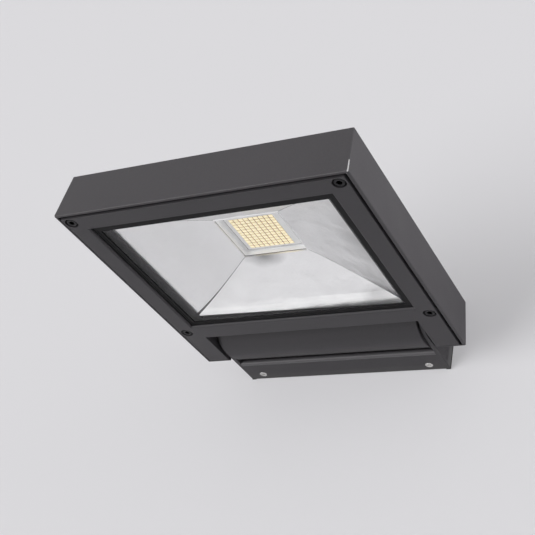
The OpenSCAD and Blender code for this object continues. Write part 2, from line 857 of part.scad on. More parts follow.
// Tube swept along a route that runs mostly level, with six sides
module wire(route, r) {
    sides = 6;
    n = len(route);
    rings = [for (i = [0 : n - 1])
        let (d = wire_dir(route, i), s = unit(cross(d, [0, 0, 1])), u = cross(s, d))
            [for (k = [0 : sides - 1]) route[i] + r * (cos(k * 60) * s + sin(k * 60) * u)]];
    points = [for (ring = rings, p = ring) p];
    skin = [for (i = [0 : n - 2], k = [0 : sides - 1])
        let (a = i * sides + k, b = i * sides + (k + 1) % sides)
            [[a, b, b + sides], [a, b + sides, a + sides]]];
    faces = concat(
        [for (pair = skin, f = pair) [f[2], f[1], f[0]]],
        [for (k = [1 : sides - 2]) [0, k, k + 1]],
        [for (k = [1 : sides - 2]) let (e = (n - 1) * sides) [e, e + k + 1, e + k]]);
    polyhedron(points, faces);
}

module led_leads() {
    color([0.75, 0.12, 0.1]) for (off = [-wire_off, wire_off]) {
        wire(wire_route(off), wire_r);
    }
}

module lead_seal() {
    y0 = slot_y - slot_wall;
    color(black_rubber) difference() {
        union() {
            bar_y(passage_d / 2 - press_gap, [y0, y0 + plug_l], passage_x, passage_z);
            bar_y(passage_d / 2 + plug_lip, [y0 - plug_flange_t, y0], passage_x, passage_z);
        }
        for (off = [-wire_off, wire_off]) {
            bar_y(wire_r + press_gap, [y0 - plug_flange_t - eps, y0 + plug_l + eps],
                passage_x + off, passage_z);
        }
    }
}

// Half-round lid of the barrel, with posts for its screws and the entry of the mains cable
module driver_cover() {
    color(paint) difference() {
        union() {
            difference() {
                bar_x(barrel_r, [-barrel_half, barrel_half], hinge_y, 0);
                bar_x(bore_r, [-tube_half, tube_half], hinge_y, 0);
            }
            intersection() {
                union() {
                    for (p = cover_screw_spots) {
                        bar_z(cover_post_r, [cover_z - eps, barrel_r], p[0], p[1]);
                    }
                }
                bar_x(barrel_r - eps, [-tube_half - eps, tube_half + eps], hinge_y, 0);
            }
        }
        block([-barrel_half - eps, barrel_half + eps], [hinge_y - barrel_r - eps, hinge_y + barrel_r + eps],
            [-barrel_r - eps, cover_z]);
        for (p = cover_screw_spots) {
            bar_z(cover_screw_r + thread_gap, [cover_z - eps, barrel_r], p[0], p[1]);
            bar_z(cover_head_r + cover_head_gap, [cover_seat_z, barrel_r + eps], p[0], p[1]);
        }
        at_entry() {
            bar_z(entry_r, [bore_r - 2 * barrel_wall, barrel_r + eps]);
            bar_z(entry_flange_r, [entry_seat, barrel_r + eps]);
        }
    }
}

// Flat ring between trough and cover, with room for the screw bosses
module cover_seal() {
    outer = sqrt(barrel_r * barrel_r - cover_z * cover_z) - seal_inset;
    inner = sqrt(bore_r * bore_r - back_z * back_z) + seal_inset;
    color(black_rubber) difference() {
        block([-barrel_half + seal_inset, barrel_half - seal_inset], [hinge_y - outer, hinge_y + outer],
            [back_z, cover_z]);
        block([-tube_half - seal_inset, tube_half + seal_inset], [hinge_y - inner, hinge_y + inner],
            [back_z - eps, cover_z + eps]);
    }
}

module cover_screws() {
    color(steel) for (p = cover_screw_spots) {
        difference() {
            union() {
                bar_z(cover_head_r, [cover_seat_z, cover_seat_z + cover_head_h], p[0], p[1]);
                bar_z(cover_screw_r, [cover_seat_z - cover_screw_l, cover_seat_z + eps], p[0], p[1]);
            }
            hex_z(cover_hex, [cover_seat_z + cover_head_h / 2, cover_seat_z + cover_head_h + eps],
                p[0], p[1]);
        }
    }
}

// Bolts that pass from inside the barrel through its end walls and the bushes into the ears
module pivot_bolts() {
    color(steel) for (s = [0, 1]) {
        mirror([s, 0, 0]) difference() {
            union() {
                bar_x(pivot_d / 2, [bolt_head_x - eps, bolt_end], hinge_y, 0);
                bar_x(bolt_head_r, [bolt_head_x - bolt_head_h, bolt_head_x], hinge_y, 0);
            }
            translate([bolt_head_x - bolt_head_h - eps, hinge_y, 0])
                rotate([0, 90, 0])
                    cylinder(d = bolt_hex / cos(30), h = bolt_head_h / 2 + eps, $fn = 6);
        }
    }
}

module spring_washers() {
    color(steel) for (s = [0, 1]) {
        mirror([s, 0, 0]) difference() {
            bar_x(bolt_head_r, [bolt_head_x, tube_half], hinge_y, 0);
            bar_x(pivot_d / 2 + thread_gap, [bolt_head_x - eps, tube_half + eps], hinge_y, 0);
        }
    }
}

module driver_tray() {
    color(steel) difference() {
        block([-tray_half, tray_half], [hinge_y - tray_w / 2, hinge_y + tray_w / 2],
            [tray_z - tray_t, tray_z]);
        for (p = tray_screw_spots) {
            bar_z(m3_r + thread_gap, [tray_z - tray_t - eps, tray_z + eps], p[0], p[1]);
        }
        for (x = concat(foot_spots, [terminal_mid])) {
            bar_z(m3_r + thread_gap, [tray_z - tray_t - eps, tray_z + eps], x, hinge_y);
        }
        for (s = [-1, 1]) {
            bar_z(m3_r + thread_gap, [tray_z - tray_t - eps, tray_z + eps],
                clamp_x, hinge_y + s * clamp_screw_y);
        }
    }
}

module tray_screws() {
    color(steel) for (p = tray_screw_spots) {
        pan_screw_down(m3_r, pan_r, m3_head_h, tray_t + rail_t, tray_z, p[0], p[1]);
    }
}

module driver() {
    color([0.9, 0.9, 0.88]) difference() {
        union() {
            block([driver_x0, driver_x1], [hinge_y - driver_w / 2, hinge_y + driver_w / 2],
                [tray_z, tray_z + driver_h]);
            block([driver_x0 - foot_l, driver_x1 + foot_l], [hinge_y - driver_w / 4, hinge_y + driver_w / 4],
                [tray_z, tray_z + foot_t]);
        }
        for (x = foot_spots) {
            bar_z(m3_r + thread_gap, [tray_z - eps, tray_z + foot_t + eps], x, hinge_y);
        }
    }
}

module driver_screws() {
    color(steel) for (x = foot_spots) {
        pan_screw_down(m3_r, pan_r, m3_head_h, foot_t + tray_t, tray_z + foot_t, x, hinge_y);
    }
}

module terminal_block() {
    color([0.93, 0.93, 0.9]) difference() {
        block([terminal_x0, terminal_x1], [hinge_y - terminal_w / 2, hinge_y + terminal_w / 2],
            [tray_z, tray_z + terminal_h]);
        for (k = [-1, 0, 1]) {
            y = hinge_y + k * supply_pitch;
            bar_x(terminal_bore_r, [terminal_x0 + terminal_back, terminal_x1 + eps], y, supply_z);
            bar_z(terminal_key_r, [supply_z, tray_z + terminal_h + eps], terminal_x0 + terminal_key_x, y);
        }
        bar_z(m3_r + thread_gap, [tray_z - eps, tray_z + terminal_thread], terminal_mid, hinge_y);
    }
}

module terminal_screw() {
    z = tray_z - tray_t;
    color(steel) union() {
        bar_z(pan_r, [z - m3_head_h, z], terminal_mid, hinge_y);
        bar_z(m3_r, [z - eps, tray_z + terminal_thread - eps], terminal_mid, hinge_y);
    }
}

module supply_leads() {
    color([0.45, 0.28, 0.14]) for (k = [-1, 0, 1]) {
        bar_x(supply_r, [driver_x1, terminal_x0], hinge_y + k * supply_pitch, supply_z);
    }
}

// Saddle that holds the cable down on the tray
module cord_clamp() {
    color(black_rubber) difference() {
        block([clamp_x - clamp_l / 2, clamp_x + clamp_l / 2], [hinge_y - clamp_w / 2, hinge_y + clamp_w / 2],
            [tray_z, tray_z + clamp_h]);
        bar_x(cable_d / 2, [clamp_x - clamp_l, clamp_x + clamp_l], hinge_y, tray_z + cable_d / 2);
        block([clamp_x - clamp_l, clamp_x + clamp_l], [hinge_y - cable_d / 2, hinge_y + cable_d / 2],
            [tray_z - eps, tray_z + cable_d / 2]);
        for (s = [-1, 1]) {
            bar_z(m3_r + thread_gap, [tray_z - eps, tray_z + clamp_h + eps],
                clamp_x, hinge_y + s * clamp_screw_y);
        }
    }
}

module clamp_screws() {
    color(steel) for (s = [-1, 1]) {
        pan_screw_down(m3_r, pan_r, m3_head_h, clamp_h + tray_t, tray_z + clamp_h,
            clamp_x, hinge_y + s * clamp_screw_y);
    }
}

module cable_grommet() {
    color(black_rubber) at_entry() {
        difference() {
            union() {
                bar_z(entry_flange_r - thread_gap, [entry_seat, entry_seat + entry_flange_t]);
                bar_z(entry_r - press_gap, [bore_r - barrel_wall, entry_seat + eps]);
            }
            bar_z(cable_d / 2, [bore_r - barrel_wall - eps, barrel_r + eps]);
        }
    }
}

module breather_vent() {
    color(black_rubber) union() {
        bar_z(vent_r, [inner_z, back_z + eps], vent_x, vent_y);
        bar_z(vent_head_r, [back_z, back_z + vent_head_h], vent_x, vent_y);
    }
}

// Plate with two lower tabs for the box screws and two upper hooks
module wall_plate() {
    color(steel) difference() {
        union() {
            block([-plate_w / 2, plate_w / 2], [-plate_t, 0], [tab_low_z, tab_high_z]);
            for (s = [-1, 1]) {
                tab = [s * box_screw_x - tab_w / 2, s * box_screw_x + tab_w / 2];
                block(tab, [-tab_d, 0], [tab_low_z, tab_low_z + plate_t]);
                block(tab, [-tab_d, 0], [tab_high_z - plate_t, tab_high_z]);
                block(tab, [-tab_d, -tab_d + hook_t], [tab_high_z - eps, tab_high_z + hook_up]);
            }
        }
        for (s = [-1, 1]) {
            bar_z(m4_r + thread_gap, [tab_low_z - eps, tab_low_z + plate_t + eps],
                s * box_screw_x, -box_screw_y);
            bar_y(wall_bolt_d / 2, [-plate_t - eps, eps], s * wall_bolt_x, 0);
        }
        bar_y(plate_hole_d / 2, [-plate_t - eps, eps], 0, 0);
        bar_y(m4_r + thread_gap, [-plate_t - eps, eps], earth_x, earth_z);
    }
}

// Side view of a cheek: a round nose on the hinge axis, run back to the wall
module cheek_side() {
    translate([hinge_y, 0])
        circle(r = cheek_r, $fn = 96);
    translate([hinge_y, -cheek_r])
        square([hinge_out + box_y, 2 * cheek_r]);
    translate([hinge_y + roof_back, -cheek_r])
        square([hinge_out + box_y - roof_back, cheek_r + box_top]);
}

module wall_box() {
    floor_y = hinge_y + floor_back;
    roof_y = hinge_y + roof_back;
    inner = box_w / 2 - cheek_t;
    hook_y = -tab_d + hook_t + hook_gap;
    color(paint) difference() {
        union() {
            for (s = [-1, 1]) {
                x0 = s > 0 ? inner : -box_w / 2;
                translate([x0, 0, 0])
                    rotate([90, 0, 90])
                        linear_extrude(cheek_t)
                            cheek_side();
            }
            prism_x([[floor_y + lip_bevel, -cheek_r], [box_y, -cheek_r], [box_y, floor_z2],
                [floor_y, floor_z2], [floor_y, -cheek_r + lip_bevel]], [-inner - eps, inner + eps]);
            block([-inner - eps, inner + eps], [roof_y, box_y], [roof_z1, box_top]);
            for (s = [-1, 1]) {
                block([s * box_screw_x - tab_w / 2, s * box_screw_x + tab_w / 2], [hook_y, hook_y + hook_t],
                    [tab_high_z + tab_gap, roof_z1 + eps]);
            }
        }
        for (s = [-1, 1]) {
            bar_x(bush_r, [s * (box_w / 2 - cheek_t / 2) - cheek_t, s * (box_w / 2 - cheek_t / 2) + cheek_t],
                hinge_y, 0);
            bar_z(screw_hole_r, [-cheek_r - eps, floor_z2 + eps], s * box_screw_x, -box_screw_y);
            bar_z(box_screw_head_r + 0.2, [-cheek_r - eps, box_screw_seat], s * box_screw_x, -box_screw_y);
        }
    }
}

module box_screws() {
    color(steel) for (s = [-1, 1]) {
        socket_screw(m4_r, box_screw_head_r, box_screw_head_h, box_screw_l, box_screw_hex,
            box_screw_seat, s * box_screw_x, -box_screw_y);
    }
}

// Foam strip on the rear edges of the box, open below so that water drains
module wall_seal() {
    color(black_rubber) difference() {
        block([-box_w / 2, box_w / 2], [box_y, 0], [-cheek_r, box_top]);
        block([-box_w / 2 + seal_w, box_w / 2 - seal_w], [box_y - eps, eps],
            [-cheek_r - eps, box_top - seal_w]);
    }
}

module wall_grommet() {
    color(black_rubber) difference() {
        union() {
            bar_y(plate_hole_d / 2 - press_gap, [-plate_t - eps, 0], 0, 0);
            bar_y(wall_flange_r, [-plate_t - wall_flange_t, -plate_t], 0, 0);
        }
        bar_y(cable_d / 2, [-plate_t - wall_flange_t - eps, eps], 0, 0);
    }
}

module earth_screw() {
    color([0.8, 0.65, 0.3]) union() {
        bar_y(m4_r, [-plate_t - eps, 0], earth_x, earth_z);
        bar_y(earth_head_r, [-plate_t - earth_head_h, -plate_t], earth_x, earth_z);
    }
}

module pivot_bushes() {
    color([0.85, 0.83, 0.75]) for (s = [0, 1]) {
        mirror([s, 0, 0]) difference() {
            union() {
                bar_x(bush_r, [box_w / 2 - cheek_t, box_w / 2 + eps], hinge_y, 0);
                bar_x(bush_flange_r, [box_w / 2, bush_face], hinge_y, 0);
            }
            bar_x(pivot_d / 2 + pivot_play, [box_w / 2 - cheek_t - eps, bush_face + eps], hinge_y, 0);
        }
    }
}

lamp_housing();
front_frame();
frame_screws();
frame_gasket();
glass_pane();
glass_gasket();
glass_clips();
clip_screws();
reflector();
led_board();
led_chips();
thermal_pad();
board_screws();
heat_sink();
sink_screws();
led_leads();
lead_seal();
driver_cover();
cover_seal();
cover_screws();
pivot_bolts();
spring_washers();
driver_tray();
tray_screws();
driver();
driver_screws();
terminal_block();
terminal_screw();
supply_leads();
cord_clamp();
clamp_screws();
cable_grommet();
breather_vent();
wall_plate();
wall_box();
box_screws();
wall_seal();
wall_grommet();
earth_screw();
pivot_bushes();
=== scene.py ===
"""Studio scene of a wall floodlight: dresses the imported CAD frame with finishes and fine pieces.

All lengths are metres in the CAD frame: the wall is the plane y = 0, the head points to -Y
and its glass faces down.
"""
import json
import logging
import math
from dataclasses import dataclass
from enum import Enum
from typing import Any, Callable, NamedTuple, Optional, Sequence

import bmesh
import bpy
from mathutils import Matrix, Vector


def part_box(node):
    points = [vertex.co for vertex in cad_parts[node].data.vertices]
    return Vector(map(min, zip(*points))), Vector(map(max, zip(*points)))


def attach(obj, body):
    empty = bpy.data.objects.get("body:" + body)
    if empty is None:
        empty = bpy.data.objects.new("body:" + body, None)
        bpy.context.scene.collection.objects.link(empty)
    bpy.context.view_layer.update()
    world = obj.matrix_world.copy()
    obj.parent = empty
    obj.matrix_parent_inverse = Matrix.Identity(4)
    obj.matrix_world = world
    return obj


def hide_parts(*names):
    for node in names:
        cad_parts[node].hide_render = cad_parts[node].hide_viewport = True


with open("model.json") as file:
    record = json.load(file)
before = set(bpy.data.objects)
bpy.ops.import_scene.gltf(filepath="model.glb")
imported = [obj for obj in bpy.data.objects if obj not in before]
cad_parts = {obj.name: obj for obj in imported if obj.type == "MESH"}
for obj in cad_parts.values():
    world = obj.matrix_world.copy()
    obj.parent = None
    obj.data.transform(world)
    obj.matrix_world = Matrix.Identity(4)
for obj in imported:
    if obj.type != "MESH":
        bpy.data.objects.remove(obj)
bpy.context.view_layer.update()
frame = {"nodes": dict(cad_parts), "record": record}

MM = 0.001
DOUBLES = 0.001 * MM
LOG = logging.getLogger("floodlight")
Piece = bpy.types.Object
Tree = bpy.types.NodeTree
Socket = bpy.types.NodeSocket
Sockets = bpy.types.NodeOutputs
Work = bmesh.types.BMesh
Vert = bmesh.types.BMVert
Face = bmesh.types.BMFace
Inputs = dict[Any, Any]
Pair = tuple[float, float]
Triple = tuple[float, float, float]
WHITE = (1.0, 1.0, 1.0)
PALE_GREY = (0.708, 0.701, 0.723)
HINGE_Y = -53.0 * MM
FLAT_ANGLE = 0.5
SHARP_ANGLE = 28.0
LEAST_WEIGHT = 0.12
AREA_CHANGE = 0.04


class Body(Enum):
    """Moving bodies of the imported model."""

    HEAD = "head"
    BRACKET = "bracket"


class Facing(Enum):
    """Direction in which a screw's head looks."""

    UP = 1
    DOWN = -1


class Grain(Enum):
    """Marks that its working left on a metal surface."""

    STREAKED = "streaked"
    SPANGLED = "spangled"


# Node trees


def rgba(colour: Triple) -> tuple[float, ...]:
    """Return a colour with full alpha."""
    return (*colour, 1.0)


class Sketch:
    """Adds and links nodes in one node tree."""

    def __init__(self, tree: Tree) -> None:
        """Keep the tree to draw in."""
        self.tree = tree

    def add(self, kind: str, inputs: Optional[Inputs] = None, **settings: Any) -> bpy.types.Node:
        """Add a node.

        Args:
            kind: Blender's type name of the node.
            inputs: values or sockets to link, by input name or index.
            **settings: plain attributes of the node.

        Returns:
            The new node.
        """
        node = self.tree.nodes.new(kind)
        for key, value in settings.items():
            setattr(node, key, value)
        for key, value in (inputs or {}).items():
            if isinstance(value, Socket):
                self.tree.links.new(value, node.inputs[key])
            else:
                node.inputs[key].default_value = value
        return node

    def get(self, kind: str, output: Any, inputs: Optional[Inputs] = None, **settings: Any) -> Socket:
        """Add a node and return one of its outputs, by name or index."""
        return self.add(kind, inputs, **settings).outputs[output]

    def group(self, tree: Tree, inputs: Inputs) -> Sockets:
        """Place a shader group and return its outputs."""
        return self.add("ShaderNodeGroup", inputs, node_tree=tree).outputs

    def place(self) -> Socket:
        """Return the coordinates of the piece's own object."""
        return self.get("ShaderNodeTexCoord", "Object")

    def noise(self, vector: Socket, scale: Any, detail: float) -> Socket:
        """Return noise over coordinates."""
        return self.get("ShaderNodeTexNoise", 0, {"Vector": vector, "Scale": scale, "Detail": detail})

    def math(self, operation: str, a: Any, b: Any) -> Socket:
        """Return the result of a Math node on two values or sockets."""
        return self.get("ShaderNodeMath", 0, {0: a, 1: b}, operation=operation)

    def vector(self, operation: str, a: Any, b: Any = (0.0, 0.0, 0.0), output: str = "Vector") -> Socket:
        """Return the result of a Vector Math node on two vectors or sockets."""
        return self.get("ShaderNodeVectorMath", output, {0: a, 1: b}, operation=operation)

    def mix(self, factor: Any, a: Any, b: Any) -> Socket:
        """Return a colour mixed from two colours or sockets."""
        ends = [end if isinstance(end, Socket) else rgba(end) for end in (a, b)]
        return self.get("ShaderNodeMix", 2, {0: factor, 6: ends[0], 7: ends[1]}, data_type="RGBA")

    def ramp(self, value: Socket, low: float, high: float, to_low: float = 0.0,
             to_high: float = 1.0) -> Socket:
        """Return the value mapped and clamped from one range to another."""
        return self.get("ShaderNodeMapRange", 0, {0: value, 1: low, 2: high, 3: to_low, 4: to_high})

    def spread(self, noise: Socket, low: float = 0.0, high: float = 1.0) -> Socket:
        """Return noise, which keeps between 0.3 and 0.7 for the most part, spread over a range."""
        return self.ramp(noise, 0.3, 0.7, low, high)

    def grain(self, fine: float, broad: float) -> tuple[Socket, Socket]:
        """Return fine and broad grain at two scales."""
        made = self.group(TWO_SCALE, {"Fine Scale": fine, "Broad Scale": broad})
        return made["Fine"], made["Broad"]

    def edge_wear_and_highlight(self, radius: float, amount: float, scale: float) -> Socket:
        """Return a mask of outer edges, which the finishes lighten as wear, and on the main coat also as a
        painted highlight.
        """
        return self.group(EDGE_WEAR_AND_HIGHLIGHT, {"Radius": radius, "Amount": amount, "Break Scale": scale})["Mask"]

    def bump(self, height: Socket, strength: float, distance: float,
             under: Optional[Socket] = None) -> Socket:
        """Return the normal of a bumped surface, on top of another normal where one is given."""
        inputs = {"Strength": strength, "Distance": distance, "Height": height}
        return self.get("ShaderNodeBump", 0, inputs if under is None else {**inputs, "Normal": under})

    def surface(self, tone: Socket, rough: Any, inputs: Inputs) -> Socket:
        """Return a Principled shader."""
        return self.get("ShaderNodeBsdfPrincipled", 0, {"Base Color": tone, "Roughness": rough, **inputs})

    def light(self, kind: str, colour: Triple, strength: Any) -> Socket:
        """Return an Emission or Background shader."""
        return self.get("ShaderNode" + kind, 0, {"Color": rgba(colour), "Strength": strength})

    def blend(self, factor: Socket, first: Socket, second: Socket) -> Socket:
        """Return a mix of two shaders."""
        return self.get("ShaderNodeMixShader", 0, {0: factor, 1: first, 2: second})


def node_group(name: str, kind: str, inputs: dict[str, str], outputs: dict[str, str],
               draw: Callable[[Sketch, Sockets], Sequence[Socket]]) -> Tree:
    """Make a node group.

    Args:
        name: name of the group.
        kind: Shader or Geometry.
        inputs: kind of each input's socket, by the input's name.
        outputs: kind of each output's socket, by the output's name.
        draw: function that gets the sketch and the input sockets and returns the output sockets.

    Returns:
        The tree of the group.
    """
    tree = bpy.data.node_groups.new(name, kind + "NodeTree")
    for way, sockets in (("INPUT", inputs), ("OUTPUT", outputs)):
        for label, socket in sockets.items():
            tree.interface.new_socket(name=label, in_out=way, socket_type="NodeSocket" + socket)
    sketch = Sketch(tree)
    results = draw(sketch, sketch.add("NodeGroupInput").outputs)
    sketch.add("NodeGroupOutput", dict(enumerate(results)))
    return tree


def draw_edge_wear_and_highlight(sketch: Sketch, entry: Sockets) -> Sequence[Socket]:
    """Draw a mask of outer edges that is broken up by noise."""
    soft = sketch.get("ShaderNodeBevel", 0, {"Radius": entry["Radius"]}, samples=4)
    turn = sketch.vector("DOT_PRODUCT", soft, sketch.get("ShaderNodeNewGeometry", "Normal"), "Value")
    edge = sketch.ramp(sketch.math("SUBTRACT", 1.0, turn), 0.03, 0.2)
    broken = sketch.ramp(sketch.noise(sketch.place(), entry["Break Scale"], 4.0), 0.38, 0.62)
    return [sketch.math("MULTIPLY", sketch.math("MULTIPLY", edge, broken), entry["Amount"])]


def draw_two_scale(sketch: Sketch, entry: Sockets) -> Sequence[Socket]:
    """Draw fine grain and broad clouds from the object's own coordinates."""
    return [sketch.noise(sketch.place(), entry["Fine Scale"], 3.0),
            sketch.noise(sketch.place(), entry["Broad Scale"], 5.0)]


def draw_streaks(sketch: Sketch, entry: Sockets) -> Sequence[Socket]:
    """Draw thin lines that run along the stretch given for each axis."""
    thin = sketch.get("ShaderNodeMapping", 0, {"Vector": sketch.place(), "Scale": entry["Stretch"]})
    return [sketch.noise(thin, entry["Scale"], 6.0)]


def scatter(sketch: Sketch, entry: Sockets, points: Socket, least: float, most: float,
            seed: Any) -> Sequence[Socket]:
    """Draw the end of a geometry node tree: real copies of a piece that have their finish.

    Args:
        sketch: the tree to draw in.
        entry: the tree's inputs.
        points: where the copies go.
        least: smallest turn of a copy about Z, in radians.
        most: largest turn of a copy about Z, in radians.
        seed: seed of the turns.

    Returns:
        The copies' geometry.
    """
    item = sketch.get("GeometryNodeObjectInfo", "Geometry", {"Object": entry["Piece"]})
    turn = sketch.get("FunctionNodeRandomValue", 0, {0: (0.0, 0.0, least), 1: (0.0, 0.0, most), "Seed": seed},
                      data_type="FLOAT_VECTOR")
    copies = sketch.get("GeometryNodeInstanceOnPoints", 0, {
        "Points": points, "Instance": item, "Rotation": turn})
    real = sketch.get("GeometryNodeRealizeInstances", 0, {0: copies})
    return [sketch.get("GeometryNodeSetMaterial", 0, {"Geometry": real, "Material": entry["Finish"]})]


def draw_grid(sketch: Sketch, entry: Sockets) -> Sequence[Socket]:
    """Draw copies of a piece in even rows and columns, each turned a trace by a fixed seed."""
    points = sketch.get("GeometryNodeMeshGrid", 0, {
        "Size X": entry["Width"], "Size Y": entry["Depth"],
        "Vertices X": entry["Columns"], "Vertices Y": entry["Rows"]})
    moved = sketch.get("GeometryNodeSetPosition", 0, {"Geometry": points, "Offset": entry["Centre"]})
    return scatter(sketch, entry, moved, -0.012, 0.012, seed=7)


def draw_spots(sketch: Sketch, entry: Sockets) -> Sequence[Socket]:
    """Draw a copy of a piece at each vertex of another mesh, each with its own turn about Z."""
    spots = sketch.get("GeometryNodeObjectInfo", "Geometry", {"Object": entry["Spots"]})
    return scatter(sketch, entry, spots, 0.0, 6.283, entry["Seed"])


EDGE_WEAR_AND_HIGHLIGHT = node_group("EdgeWear", "Shader", {"Radius": "Float", "Amount": "Float", "Break Scale": "Float"},
                       {"Mask": "Float"}, draw_edge_wear_and_highlight)
TWO_SCALE = node_group("TwoScaleGrain", "Shader", {"Fine Scale": "Float", "Broad Scale": "Float"},
                       {"Fine": "Float", "Broad": "Float"}, draw_two_scale)
STREAKS = node_group("WorkedStreaks", "Shader", {"Scale": "Float", "Stretch": "Vector"}, {"Lines": "Float"},
                     draw_streaks)
GRID_TREE = node_group("RowsAndColumns", "Geometry", {
    "Piece": "Object", "Columns": "Int", "Rows": "Int", "Width": "Float", "Depth": "Float",
    "Centre": "Vector", "Finish": "Material"}, {"Geometry": "Geometry"}, draw_grid)
SPOTS_TREE = node_group("OneAtEachSpot", "Geometry", {
    "Piece": "Object", "Spots": "Object", "Seed": "Int", "Finish": "Material"},
    {"Geometry": "Geometry"}, draw_spots)


# Finishes


@dataclass(frozen=True)
class Finish:
    """A surface finish that is drawn as one procedural material."""

    name: str
    base: Triple
    roughness: float

    def make(self) -> bpy.types.Material:
        """Return the material, made on the first call."""
        material = bpy.data.materials.get(self.name)
        if material is None:
            material = bpy.data.materials.new(self.name)
            material.use_nodes = True
            material.diffuse_color = rgba(self.base)
            material.node_tree.nodes.clear()
            sketch = Sketch(material.node_tree)
            sketch.add("ShaderNodeOutputMaterial", {"Surface": self.draw(sketch)})
        return material

    def draw(self, sketch: Sketch) -> Socket:
        """Draw the nodes and return the shader socket."""
        raise NotImplementedError

    def tinted(self, share: float, more: float = 0.0) -> Triple:
        """Return the base colour times a share, plus a little more, at most white."""
        return tuple(min(1.0, c * share + more) for c in self.base)


@dataclass(frozen=True)
class PowderCoat(Finish):
    """Fine-textured powder coat on cast aluminium, lighter along its edges as wear and as a painted
    highlight.

    Below a given height it carries a painted highlight in the pale tone, stronger along a given span of x and
    broken up like rubbed-through paint.
    """

    wear_and_highlight_tone: Triple = (0.3, 0.3, 0.31)
    wear_and_highlight_amount: float = 0.35
    texture: float = 0.25
    highlight_below: Optional[float] = None
    highlight_x: Pair = (-20.0 * MM, 124.0 * MM)

    def draw(self, sketch: Sketch) -> Socket:
        """Draw the coat's speckle, its pale edges of wear and painted highlight, its low painted highlight
        and its orange-peel bump.
        """
        fine, broad = sketch.grain(1700.0, 16.0)
        tone = sketch.mix(sketch.spread(broad), self.tinted(0.86), self.base)
        tone = sketch.mix(sketch.ramp(fine, 0.35, 0.7, 0.0, 0.55), tone, self.tinted(1.28, 0.006))
        edge = sketch.edge_wear_and_highlight(0.7 * MM, self.wear_and_highlight_amount, 70.0)
        tone = sketch.mix(edge, tone, self.wear_and_highlight_tone)
        # Painted highlight low on the coat, stronger towards +x.
        if self.highlight_below is not None:
            axes = sketch.add("ShaderNodeSeparateXYZ", {0: sketch.place()}).outputs
            low = sketch.ramp(axes["Z"], self.highlight_below, self.highlight_below + MM, 1.0, 0.0)
            highlight_reach = sketch.math("MULTIPLY", low, sketch.ramp(axes["X"], *self.highlight_x, 0.35, 1.0))
            painted_highlight = sketch.math("MULTIPLY", highlight_reach, sketch.ramp(fine, 0.25, 0.5, 0.5, 1.0))
            tone = sketch.mix(painted_highlight, tone, self.wear_and_highlight_tone)
        rough = sketch.spread(broad, self.roughness - 0.05, self.roughness + 0.05)
        rough = sketch.math("SUBTRACT", rough, sketch.math("MULTIPLY", edge, 0.15))
        return sketch.surface(tone, rough, {
            "Normal": sketch.bump(fine, self.texture, 0.12 * MM), "Specular IOR Level": 0.35})


@dataclass(frozen=True)
class PaintedDarkSpot:
    """A soft dark spot on a metal sheet, painted shade and painted dark reflection: its centre, its reach
    along each axis and its depth.
    """

    centre: Triple
    reach: Triple
    depth: float

    def mask(self, sketch: Sketch, noise: Socket) -> Socket:
        """Return the mask of the spot, whose border is broken up by noise."""
        share = sketch.vector("DIVIDE", sketch.vector("SUBTRACT", sketch.place(), self.centre), self.reach)
        length = sketch.vector("LENGTH", share, output="Value")
        ragged = sketch.math("ADD", length, sketch.spread(noise, -0.2, 0.2))
        return sketch.ramp(ragged, 1.0, 0.0, 0.0, self.depth)


@dataclass(frozen=True)
class BareMetal(Finish):
    """Bare or plated metal with the marks of its working."""

    grain: Grain = Grain.STREAKED
    stretch: Triple = (1.0, 12.0, 1.0)
    scale: float = 120.0
    depth: float = 0.1
    contrast: float = 0.12
    wave: float = 0.0
    painted_dark_spots: tuple[PaintedDarkSpot, ...] = ()

    def marks(self, sketch: Sketch) -> Socket:
        """Draw the streaks or the spangles."""
        if self.grain is Grain.STREAKED:
            return sketch.group(STREAKS, {"Scale": self.scale, "Stretch": self.stretch})["Lines"]
        cells = sketch.get("ShaderNodeTexVoronoi", "Color", {"Vector": sketch.place(), "Scale": self.scale})
        return sketch.get("ShaderNodeSeparateColor", 0, {0: cells})

    def draw(self, sketch: Sketch) -> Socket:
        """Draw the metal with its marks, its painted dark spots of shade and reflection, and bright edges."""
        marks = self.marks(sketch)
        _, cloud = sketch.grain(900.0, 28.0)
        tone = sketch.mix(sketch.ramp(marks, 0.2, 0.8), self.tinted(1.0 - self.contrast), self.base)
        # Darken the tone at each spot: painted shade and painted reflection.
        for dark_spot in self.painted_dark_spots:
            tone = sketch.mix(dark_spot.mask(sketch, cloud), tone, self.tinted(0.12))
        tone = sketch.mix(sketch.edge_wear_and_highlight(0.3 * MM, 0.5, 200.0), tone, self.tinted(1.15))
        change = self.contrast / 2
        rough = sketch.spread(marks, self.roughness - change, self.roughness + change)
        rough = sketch.math("ADD", rough, sketch.ramp(cloud, 0.45, 0.7, 0.0, change))
        normal = sketch.bump(marks, self.depth, 0.05 * MM)
        if self.wave > 0.0:
            normal = sketch.bump(cloud, 1.0, self.wave, normal)
        return sketch.surface(tone, rough, {"Metallic": 1.0, "Normal": normal})


@dataclass(frozen=True)
class Moulded(Finish):
    """Rubber, plastic or ceramic with a mould's fine texture."""

    texture: float = 0.2
    coat: float = 0.0
    shine: float = 0.5
    # Emission on an unlit part: painted light.
    painted_glow: float = 0.0

    def draw(self, sketch: Sketch) -> Socket:
        """Draw the moulded skin with its clouds, paler edges and painted glow."""
        fine, broad = sketch.grain(1200.0, 30.0)
        tone = sketch.mix(sketch.spread(broad), self.tinted(0.82), self.base)
        tone = sketch.mix(sketch.edge_wear_and_highlight(0.4 * MM, 0.4, 150.0), tone, self.tinted(1.2, 0.01))
        return sketch.surface(tone, sketch.spread(fine, self.roughness - 0.07, self.roughness + 0.07), {
            "Normal": sketch.bump(fine, self.texture, 0.08 * MM), "Coat Weight": self.coat,
            "Specular IOR Level": self.shine, "Emission Color": rgba(self.base),
            "Emission Strength": self.painted_glow})


